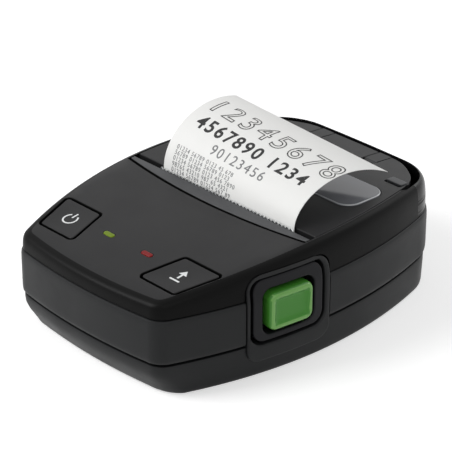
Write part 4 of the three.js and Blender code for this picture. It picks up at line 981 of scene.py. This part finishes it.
class PRINTER_OT_rear_trim(Step, Operator):
    """Black trim that wraps the rear rim; its near black is also painted shade of the rear gap and dark
    reflection on the rear chamfer
    """

    bl_idname = "printer.rear_trim"
    bl_label = "Rear trim"

    def execute(self, context):
        c, r, d = plan()
        ring = loop(0)
        picked = np.nonzero(ring[:, 1] > TRIM_FRONT)[0]
        c, r, d = c[picked], r[picked], d[picked]

        def at(depth, drop):
            p = c + (r - depth)[:, None] * d
            return level(p, shoulder_z(depth, p[:, 1]) - drop)

        depths, proud = PROFILE[:, 0], 0.06
        outer = [at(x - proud, -proud) for x in depths[(depths > 0.6) & (depths < 2.6)]]
        foot = outer[0].copy()
        foot[:, 2] = np.minimum(foot[:, 2], TRIM_FOOT)
        inner = ((TRIM_DEPTH - 0.13, 0.05), (TRIM_DEPTH, 0.35), (TRIM_DEPTH, 3.2))
        rows = [at(0.9, 6), foot, *outer, *(at(depth, drop) for depth, drop in inner)]
        work = Patchwork()
        work.grid(rows[::-1] + [rows[-1]], closed=False)
        for k, flip in ((0, True), (-1, False)):
            line = np.array([row[k] for row in rows])
            across = line[:, :2] @ -d[k]
            flat = np.column_stack([across, line[:, 2]])
            start = line[0, :2] + d[k] * across[0]
            place = lambda uv, w, k=k, start=start: np.column_stack([start - uv[:, :1] * d[k], uv[:, 1]])
            work.fill([flat], place, PLAIN, flip=not flip)
        finished("rear_rim_trim", work, "black_gloss", "case", "black_gloss", "rear_trim")
        return {"FINISHED"}


class PRINTER_OT_strip(Step, Operator):
    """Lighter strip between the front cover and the paper slot"""

    bl_idname = "printer.strip"
    bl_label = "Slot strip"

    def execute(self, context):
        width = lambda y: float(side_at(y, LID_DEPTH))
        front = arc_line(STRIP_MIDDLE, STRIP_BOW)
        end = width(float(front(width(STRIP_MIDDLE))))
        x, back = np.linspace(-end, end, 60), width(STRIP_REAR)
        ring = np.vstack([np.column_stack([x, front(x)]), [(back, STRIP_REAR), (-back, STRIP_REAR)]])
        work = Patchwork()
        work.plate([dense(ring, 1.6)], on_top, top=0, foot=STRIP_FOOT, radius=0.35)
        strip = finished("slot_strip_cover", work, "grey_plastic", "case", "grey_plastic", "slot_strip")
        # The strip's side walls get the near-black wall finish: painted shade in the gaps around it
        tinted(strip, "wall", lambda centre, normal: normal[:, 2] < 0.5)
        return {"FINISHED"}


class PRINTER_OT_lid(Step, Operator):
    """Lid with its window opening, platen arms and hinge knuckles"""

    bl_idname = "printer.lid"
    bl_label = "Lid"

    def execute(self, context):
        s = sizes()
        ring = loop(LID_DEPTH, LID_PLAN)
        ring[:, 1] += LID_REACH * (1 - smooth(16, 28, np.abs(ring[:, 0]))) * smooth(45, 50, ring[:, 1])
        ring = self.notched(clip(ring, lambda x: np.full(np.shape(x), LID_FRONT)))
        holes = [pane_loop(0.14)]
        for side in (-1, 1):
            x0, x1 = sorted((side * CAP_IN, side * CAP_OUT))
            holes.append(rectangle(x0 - 0.05, x1 + 0.05, CAP_FRONT - 0.9, CAP_FRONT + CAP_DEPTH, 0.3, 3))
        work = Patchwork()
        rings = [ring, *(dense(hole, 2)[::-1] for hole in holes)]
        work.plate(rings, on_top, top=0, foot=-WALL, radius=s["edge"])
        arm = rectangle(PLATEN_Y - 3.8, PLATEN_Y + 4.2, PLATEN_Z - 2.9, MID_TOP - 1, 0.8)
        inner = H_INNER + POST_WIDTH + POST_GAP
        for side in (-1, 1):
            x0 = min(side * ARM_IN, side * (ARM_IN + ARM_THICK)) + SHIFT
            k0 = min(side * inner, side * (inner + KNUCKLE_WIDTH))
            work.add(prism_x(arm, x0, x0 + ARM_THICK))
            work.add(prism_x(circle(H_Y, H_Z, KNUCKLE_R), k0, k0 + KNUCKLE_WIDTH))
        finished("lid_cover", work, "cover", "lid_body", "cover", "lid")
        return {"FINISHED"}

    def notched(self, ring):
        """The lid's plan with the two notches around the housing's hinge posts."""
        front, near, far = H_Y - 3.1, H_INNER - POST_GAP, H_INNER + POST_WIDTH + POST_GAP
        rear = ring[(ring[:, 1] > H_Y) & (np.abs(ring[:, 0]) < 40)][::-1]
        line = lambda x: float(np.interp(x, *rear.T))
        for side in (-1, 1):
            x = side * ring[:, 0]
            over = np.nonzero((ring[:, 1] > H_Y) & (x > near - 0.4) & (x < far + 0.4))[0]
            lo, hi = sorted((side * near, side * far))
            notch = [(hi, line(hi)), (hi, front), (lo, front), (lo, line(lo))]
            ring = np.vstack([ring[: over[0]], notch, ring[over[-1] + 1 :]])
        return dense(ring, 2)


def pane_loop(grow=0.0):
    """The lid window's outline."""
    x = PANE_HALF + grow
    return rectangle(-x, x, PANE_FRONT - grow, PANE_REAR + grow, PANE_CORNER + grow, 12)


class PRINTER_OT_window(Step, Operator):
    """Smoked window in the lid and the two grey hinge caps"""

    bl_idname = "printer.window"
    bl_label = "Window and hinge caps"

    def execute(self, context):
        work = Patchwork()
        work.plate([dense(pane_loop(), 2)], on_top, top=0.35, foot=-1.3, radius=0.45)
        pane = finished("lid_pane", work, "window", "lid_body", "window", "lid_window")
        # The window's rounded edge is painted light grey: a painted highlight
        tinted(pane, "window_edge", lambda centre, normal: (normal[:, 2] > 0.2) & (normal[:, 2] < 0.97))
        for side, name in ((-1, "left"), (1, "right")):
            x0, x1 = sorted((side * CAP_IN, side * CAP_OUT))
            cap = dense(rectangle(x0, x1, CAP_FRONT, CAP_FRONT + CAP_DEPTH, 0.6, 4), 2)
            work = Patchwork()
            work.plate([cap], on_top, top=0.35, foot=-0.65, radius=0.25)
            grey = "grey_plastic"
            finished(f"hinge_cover_{name}", work, grey, "lid_body", grey, f"hinge_cap_{name}")
        return {"FINISHED"}


class PRINTER_OT_keys(Step, Operator):
    """Two dished finger keys with generic power and feed signs, and the lamp lenses"""

    bl_idname = "printer.keys"
    bl_label = "Keys and lamps"

    def execute(self, context):
        s = sizes()
        for side, name in ((-1, "power"), (1, "feed")):
            ring = key_loop(side, KEY_HOLE - s["key_gap"])
            centre = side * (K_FRONT_IN + K_FRONT_OUT + K_REAR_IN + K_REAR_OUT) / 4, (K_FRONT + K_REAR) / 2

            def dished(uv, w, side=side):
                """The top less a dip 16 u (1 - u) v (1 - v), with u and v from 0 to 1 over the key."""
                v = (uv[:, 1] - K_FRONT) / (K_REAR - K_FRONT)
                inner = K_FRONT_IN + (K_REAR_IN - K_FRONT_IN) * v
                outer = K_FRONT_OUT + (K_REAR_OUT - K_FRONT_OUT) * v
                u = (side * uv[:, 0] - inner) / (outer - inner)
                dip = 16 * np.clip(u * (1 - u), 0, 1) * np.clip(v * (1 - v), 0, 1)
                return on_top(uv, w - s["key_dish"] * dip)

            work = Patchwork()
            work.plate([ring], dished, top=0.0, foot=-2.2, radius=s["key_edge"], spacing=1.2)
            cap = finished(f"{name}_key_cap", work, "cover", f"{name}_key", "cover", f"{name}_button")
            # The key's side walls get the near-black wall finish: painted shade in the gap around the key
            tinted(cap, "wall", lambda centre, normal: normal[:, 2] < 0.6)
            sign = Patchwork()
            for shape in (power_sign if name == "power" else feed_sign)(*centre):
                sign.slab(dense(shape, 0.6), dished, top=0.03, foot=-0.25)
            finished(f"{name}_sign", sign, "sign", f"{name}_key", "cover")
        for side, name in ((-1, "green"), (1, "red")):
            work = Patchwork()
            work.plate([lamp_loop(side)], on_top, top=LENS_PROUD, foot=-3, radius=0.3, spacing=0.8)
            finished(f"lamp_lens_{name}", work, f"lamp_{name}", "case", f"lamp_{name}", f"lamp_{name}")
        return {"FINISHED"}


def power_sign(x, y):
    """A ring open at the rear and a bar in the opening."""
    gap = math.radians(36)
    t = np.linspace(math.pi / 2 + gap, 2.5 * math.pi - gap, 40)
    ring = np.column_stack([np.cos(t), np.sin(t)])
    bow = np.vstack([2.55 * ring, 2.0 * ring[::-1]]) + (x, y)
    return bow, rectangle(x - 0.29, x + 0.29, y + 0.6, y + 3.1, 0.25, 3)


def feed_sign(x, y):
    """An arrow to the rear over a short bar."""
    arrow = [(-0.35, -1.2), (0.35, -1.2), (0.35, 0.8), (1.55, 0.8), (0, 2.8), (-1.55, 0.8), (-0.35, 0.8)]
    return np.array(arrow) + (x, y), rectangle(x - 2.0, x + 2.0, y - 2.6, y - 2.0, 0.25, 3)


class PRINTER_OT_release(Step, Operator):
    """Bezel around the release button and the dished green button"""

    bl_idname = "printer.release"
    bl_label = "Release button"

    def execute(self, context):
        u, place = side_u(1, B_Y), on_side(1)
        outer = about(u, B_Z, B_HALF, B_RISE, 4, 10)
        hole = about(u, R_Z, R_HALF + 1.4, R_RISE + 1.2, 2.9, 10)
        tilt = lambda uv, w: place(uv, w - BEZEL_LEAN * smooth(STEP_Z - 2, S_Z1, uv[:, 1]))
        work = Patchwork()
        work.plate([dense(outer, 1.5), dense(hole, 1.5)[::-1]], tilt, top=0.3, foot=-3.4, radius=0.55)
        finished("release_frame", work, "bezel", "case", "black_gloss", "release_bezel")

        # Inset from the button's outline against depth below its raised edge
        edge = (
            (0, 1.6), (0.08, 1.0), (0.3, 0.45), (0.62, 0.12), (1.0, 0), (1.3, 0), (1.75, 0.12), (2.15, 0.42),
            (2.5, 0.72), (3.1, 0.86), (4.2, 0.92), (5.4, 0.95),
        )
        rows = [(self.outline(u, 0), R_FOOT)]
        rows += [(self.outline(u, inset), R_PROUD - drop) for inset, drop in edge]
        work = Patchwork()
        work.grid([raised(place, ring, w) for ring, w in rows[::-1]])
        for (ring, w), spacing, flip in ((rows[-1], 1.0, False), (rows[0], 4.0, True)):
            work.fill([ring], lifted(place, w), spacing, flip=flip)
        cap = finished("release_cap", work, "green", "release", "green", "release_button")
        # The raised edge is painted lighter green: a painted highlight
        tinted(cap, "green_painted_highlight", self.on_painted_highlight)
        return {"FINISHED"}

    def outline(self, u, inset):
        """The button's outline drawn in; its corners get tighter towards the middle."""
        return about(u, R_Z, R_HALF - inset, R_RISE - inset, max(2.4 - inset * 0.45, 0.8), 10)

    def on_painted_highlight(self, centre, normal):
        """True for the raised edge of the button, which gets a painted highlight."""
        across = SIDE_BOW * np.arcsin((centre[:, 1] - WIDEST_Y) / SIDE_BOW) - side_u(1, B_Y)
        inset = np.minimum(R_HALF - np.abs(across), R_RISE - np.abs(centre[:, 2] - R_Z))
        return (inset > HIGHLIGHT_FROM) & (inset < HIGHLIGHT_TO) & (normal[:, 0] > 0.35)


def slip_at(across, along):
    """Place on the printed face of the slip; across -1..1, along 0 in the slot to 1 at the cut end.

    Each side edge climbs on a quarter ellipse, (back (1 - cos a), rise sin a), and then falls on a
    parabola, (reach t, -droop t^2). Straight lines across join the two edges.
    """
    along = np.asarray(along, float)

    def edge(back, rise, reach, droop):
        up = np.clip((along - SLIP_KNEE) / (SLIP_CREST - SLIP_KNEE), 0, 1) * math.pi / 2
        t = np.clip((along - SLIP_CREST) / (1 - SLIP_CREST), 0, 1)
        y = SLIP_Y + back * (1 - np.cos(up)) + reach * t
        z = SLIP_Z + rise * np.sin(up) - droop * t * t
        return y, z - np.clip(SLIP_KNEE - along, 0, SLIP_KNEE) / SLIP_KNEE * SLIP_DEPTH

    (ly, lz), (ry, rz) = edge(*SLIP_LEFT), edge(*SLIP_RIGHT)
    across = np.asarray(across, float)
    share = (across + 1) / 2
    x = SHIFT + across * PAPER / 2 + 0 * ly
    return np.stack([x, ly + (ry - ly) * share, lz + (rz - lz) * share], -1)


def slip_with(across, along, off):
    """A point off the printed face of the slip by off, along the normal from central differences."""
    e = 1e-3
    p = slip_at(across, along)
    du = slip_at(across + e, along) - slip_at(across - e, along)
    dv = slip_at(across, along + e) - slip_at(across, along - e)
    n = np.cross(du, dv)
    n /= np.linalg.norm(n, axis=-1)[..., None]
    return p + n * np.asarray(off)[..., None]


class PRINTER_OT_slip(Step, Operator):
    """Curled receipt with a generic print of numbers"""

    bl_idname = "printer.slip"
    bl_label = "Receipt"

    def execute(self, context):
        s = sizes()
        across, along = np.linspace(-1, 1, 60), np.linspace(0, 1, 120)
        a, b = np.meshgrid(across, along)
        thick = s["slip_thickness"]
        upper, lower = slip_with(a, b, np.zeros_like(a)), slip_with(a, b, np.full_like(a, -thick))
        work = Patchwork()
        work.grid(upper[:, ::-1], closed=False)
        work.grid(lower, closed=False)
        border = lambda sheet: np.vstack([sheet[0, :-1], sheet[:-1, -1], sheet[-1, :0:-1], sheet[:0:-1, 0]])
        work.grid([border(upper), border(lower)])
        finished("receipt_slip", work, "paper", "lid_body", "paper", "receipt", crease=50)
        span = self.arc_length()
        for k, (words, x, y, height, finish, outline) in enumerate(PRINT_ROWS):
            self.row(f"print_row_{k:02d}", words, x, y, height, finish, outline, span)
        return {"FINISHED"}

    def arc_length(self):
        """Steps along the slip's middle and the arc length run at each."""
        t = np.linspace(0, 1, 200)
        p = slip_at(np.zeros_like(t), t)
        return t, np.concatenate([[0], np.cumsum(np.linalg.norm(np.diff(p, axis=0), axis=1))])

    def row(self, name, words, x, y, height, finish, outline, span):
        """A row of digits, set flat and then laid on the slip: across from x, along by arc length."""
        curve = bpy.data.curves.new(name, "FONT")
        curve.body = words
        curve.size = height * 1.45
        curve.align_x = "LEFT"
        curve.space_character = 1.25
        curve.resolution_u = 4
        if outline:
            curve.fill_mode = "NONE"
            curve.bevel_depth = 0.19
            curve.bevel_resolution = 0
        else:
            curve.extrude = 0.05
            curve.offset = 0.03 * height if finish == "ink" else 0
        text = bpy.data.objects.new(name, curve)
        bpy.context.scene.collection.objects.link(text)
        mesh = evaluated_mesh(text)
        bpy.data.objects.remove(text)
        form = bmesh.new()
        form.from_mesh(mesh)
        bmesh.ops.remove_doubles(form, verts=form.verts, dist=1e-4)
        bmesh.ops.triangulate(form, faces=form.faces)
        for _ in range(2):
            long = [e for e in form.edges if e.calc_length() > 0.9]
            if long:
                bmesh.ops.subdivide_edges(form, edges=long, cuts=1)
                bmesh.ops.triangulate(form, faces=form.faces)
        form.to_mesh(mesh)
        form.free()
        flat = np.empty(len(mesh.vertices) * 3)
        mesh.vertices.foreach_get("co", flat)
        flat = flat.reshape(-1, 3)
        across = np.clip((flat[:, 0] + x) / (PAPER / 2), -1, 1)
        share, run = span
        along = np.interp(y + flat[:, 1], run, share)
        placed = slip_with(across, along, PRINT_LIFT + PRINT_THICK * flat[:, 2]) * MM
        mesh.vertices.foreach_set("co", placed.ravel())
        mesh.update()
        finished(name, mesh, finish, "lid_body", "paper")


class PRINTER_OT_port(Step, Operator):
    """Rubber port cover on the left side"""

    bl_idname = "printer.port"
    bl_label = "Port cover"

    def execute(self, context):
        u = side_u(-1, P_Y)
        flap = dense(about(u, P_Z, P_HALF - PORT_GAP, P_RISE - PORT_GAP, 2, 8), 1.5)
        grip = dense(about(u - 4.7, P_Z, 0.6, 2.6, 0.58), 1)
        work = Patchwork()
        work.plate([flap], on_side(-1), top=0.0, foot=-1.95, radius=0.4)
        work.plate([grip], on_side(-1), top=0.3, foot=-0.2, radius=0.3)
        finished("port_flap_skin", work, "rubber", "port_flap", "rubber", "port_cover")
        return {"FINISHED"}


class PRINTER_OT_door(Step, Operator):
    """Battery door with a thumb hollow"""

    bl_idname = "printer.door"
    bl_label = "Battery door"

    def execute(self, context):
        ring = dense(rectangle(-D_HALF, D_HALF, -D_REAR, -D_FRONT, 2.75), 3)
        thumb, hollow = rectangle(-6, 6, -D_REAR + 3.2, -D_REAR + 6, 0.8)[::-1], 0.75
        work = Patchwork()
        walls = ((ring, -DOOR_WALL), (thumb, -hollow))
        upper = [work.rim(r, on_base, top=0, foot=foot, radius=0.3) for r, foot in walls]
        work.fill(upper, on_base, 5)
        work.fill([thumb[::-1]], lifted(on_base, -hollow), 3)
        work.fill([ring], lifted(on_base, -DOOR_WALL), 5, flip=True)
        finished("battery_door_panel", work, "shell", "door", "shell", "battery_door")
        return {"FINISHED"}


def turned(profile, x, y, z, steps=96):
    """A solid of revolution about a line along X; profile is (x, radius) end to end, closed on itself."""
    rows = [np.column_stack([np.full(steps, x + along), circle(y, z, r, steps)]) for along, r in profile]
    work = Patchwork()
    work.grid([*rows, rows[0]])
    return work


class PRINTER_OT_rollers(Step, Operator):
    """Paper roll, its core and the platen roller"""

    bl_idname = "printer.rollers"
    bl_label = "Roll and platen"

    def execute(self, context):
        half = PAPER / 2
        wound = [(0, 6.25), (0.05, 7.5), (0, 9), (0.08, 11), (0, 13), (0.1, ROLL_R - 0.1), (0.25, ROLL_R)]
        tube = [(0, 4.9), (0, 6.15)]
        sleeve = [(-0.2, SHAFT_R), (-0.2, PLATEN_R - 0.2), (0, PLATEN_R)]
        roll, platen = (SHIFT, ROLL_Y, ROLL_Z), (SHIFT, PLATEN_Y, PLATEN_Z)
        for name, ends, at, finish, body, slot, node in (
            ("paper_roll_wound", wound, roll, "paper", "roll", "paper", "paper_roll"),
            ("roll_tube", tube, roll, "card", "roll", "card", "roll_core"),
            ("platen_sleeve", sleeve, platen, "rubber", "platen", "rubber", "platen_roller"),
        ):
            right = [(half - inset, r) for inset, r in ends]
            profile = right + [(-x, r) for x, r in right[::-1]]
            finished(name, turned(profile, *at), finish, body, slot, node)
        return {"FINISHED"}


# Half width of the floor in metres, and how much its background and the room glow
FLOOR_HALF, FLOOR_LIFT, AMBIENT = 3.0, 0.5, 0.3
# Area lights: place and side in millimetres, watts
LIGHTS = (
    ("key_light", (-380, -560, 560), 420, 4.9),
    ("fill_light", (520, -250, 420), 360, 0.5),
    ("back_light", (60, 620, 480), 480, 1.3),
)
LIGHT_TARGET = (0, 0, 15)
# The photograph's view: lens in millimetres on a 36 mm sensor, place and target
CAMERA_LENS, CAMERA_PLACE, CAMERA_TARGET = 174.68, (436.29, -403.80, 325.14), (-8.17, 5.72, 20)


def aimed(name, data, place, target):
    """An object for a light or camera at a place, looking at a target, both in millimetres."""
    obj = bpy.data.objects.new(name, data)
    bpy.context.scene.collection.objects.link(obj)
    obj.location = Vector(place) * MM
    obj.rotation_mode = "QUATERNION"
    obj.rotation_quaternion = (Vector(target) * MM - obj.location).to_track_quat("-Z", "Y")
    return obj


def seen_directly(tree, ray):
    """1 for camera, glossy and transmission rays, which see the plain background."""
    seen = ray.outputs["Is Camera Ray"]
    for kind in ("Is Glossy Ray", "Is Transmission Ray"):
        pair = {0: seen, 1: ray.outputs[kind]}
        seen = add_node(tree, "ShaderNodeMath", {"operation": "MAXIMUM"}, pair).outputs[0]
    return seen


class PRINTER_OT_stage(Operator):
    """Floor, soft lights, world and the camera of the photograph's view"""

    bl_idname = "printer.stage"
    bl_label = "Stage"

    def execute(self, context):
        scene = context.scene
        scene.view_settings.view_transform = "Standard"
        mesh = bpy.data.meshes.new("floor")
        w = FLOOR_HALF
        mesh.from_pydata([(-w, -w, 0), (w, -w, 0), (w, w, 0), (-w, w, 0)], [], [(0, 1, 2, 3)])
        floor = bpy.data.objects.new("floor", mesh)
        scene.collection.objects.link(floor)
        material = bpy.data.materials.new("matte_sweep")
        material.use_nodes = True
        tree = material.node_tree
        tree.nodes.clear()
        ray = add_node(tree, "ShaderNodeLightPath")
        seen = {0: seen_directly(tree, ray)}
        lift = add_node(tree, "ShaderNodeMath", {"operation": "MULTIPLY", 1: FLOOR_LIFT}, seen)
        matte = add_node(tree, "ShaderNodeBsdfDiffuse", {"Color": (0.8, 0.8, 0.8, 1)})
        glow = add_node(tree, "ShaderNodeEmission", {"Color": (1, 1, 1, 1)}, {"Strength": lift.outputs[0]})
        both = add_node(tree, "ShaderNodeAddShader", (), {0: matte.outputs[0], 1: glow.outputs[0]})
        add_node(tree, "ShaderNodeOutputMaterial", (), {"Surface": both.outputs[0]})
        floor.data.materials.append(material)

        world = bpy.data.worlds.new("soft_room")
        world.use_nodes = True
        sky = world.node_tree
        sky.nodes.clear()
        ray = add_node(sky, "ShaderNodeLightPath")
        ambient, plain = (
            add_node(sky, "ShaderNodeBackground", {"Color": (1, 1, 1, 1), "Strength": strength})
            for strength in (AMBIENT, 1.0)
        )
        blend = add_node(
            sky, "ShaderNodeMixShader", (),
            {0: seen_directly(sky, ray), 1: ambient.outputs[0], 2: plain.outputs[0]},
        )
        add_node(sky, "ShaderNodeOutputWorld", (), {"Surface": blend.outputs[0]})
        scene.world = world

        for name, place, side, watts in LIGHTS:
            data = bpy.data.lights.new(name, "AREA")
            data.shape = "SQUARE"
            data.size = side * MM
            data.energy = watts
            aimed(name, data, place, LIGHT_TARGET)

        data = bpy.data.cameras.new("photo_view")
        data.sensor_width = 36
        data.lens = CAMERA_LENS
        data.clip_start, data.clip_end = 0.05, 20
        scene.camera = aimed("photo_view", data, CAMERA_PLACE, CAMERA_TARGET)
        return {"FINISHED"}


OPERATORS = (
    PRINTER_OT_finishes,
    PRINTER_OT_lower_shell,
    PRINTER_OT_side_band,
    PRINTER_OT_upper_housing,
    PRINTER_OT_rear_trim,
    PRINTER_OT_strip,
    PRINTER_OT_lid,
    PRINTER_OT_window,
    PRINTER_OT_keys,
    PRINTER_OT_release,
    PRINTER_OT_slip,
    PRINTER_OT_port,
    PRINTER_OT_door,
    PRINTER_OT_rollers,
    PRINTER_OT_stage,
)


class PRINTER_PT_panel(Panel):
    """Lists the steps that build the printer"""

    bl_idname = "PRINTER_PT_panel"
    bl_label = "Mobile printer"
    bl_space_type = "VIEW_3D"
    bl_region_type = "UI"
    bl_category = "Printer"

    def draw(self, context):
        for group in (context.scene.printer_sizes, context.scene.printer_colours):
            for name in group.__annotations__:
                self.layout.prop(group, name)
        for step in OPERATORS:
            self.layout.operator(step.bl_idname)


CLASSES = (PrinterSizes, PrinterColours, *OPERATORS, PRINTER_PT_panel)


def register():
    for cls in CLASSES:
        bpy.utils.register_class(cls)
    bpy.types.Scene.printer_sizes = PointerProperty(type=PrinterSizes)
    bpy.types.Scene.printer_colours = PointerProperty(type=PrinterColours)


def unregister():
    del bpy.types.Scene.printer_sizes
    del bpy.types.Scene.printer_colours
    for cls in reversed(CLASSES):
        bpy.utils.unregister_class(cls)


def main():
    register()
    for step in OPERATORS:
        group, name = step.bl_idname.split(".")
        getattr(getattr(bpy.ops, group), name)()


if __name__ == "__main__":
    main()
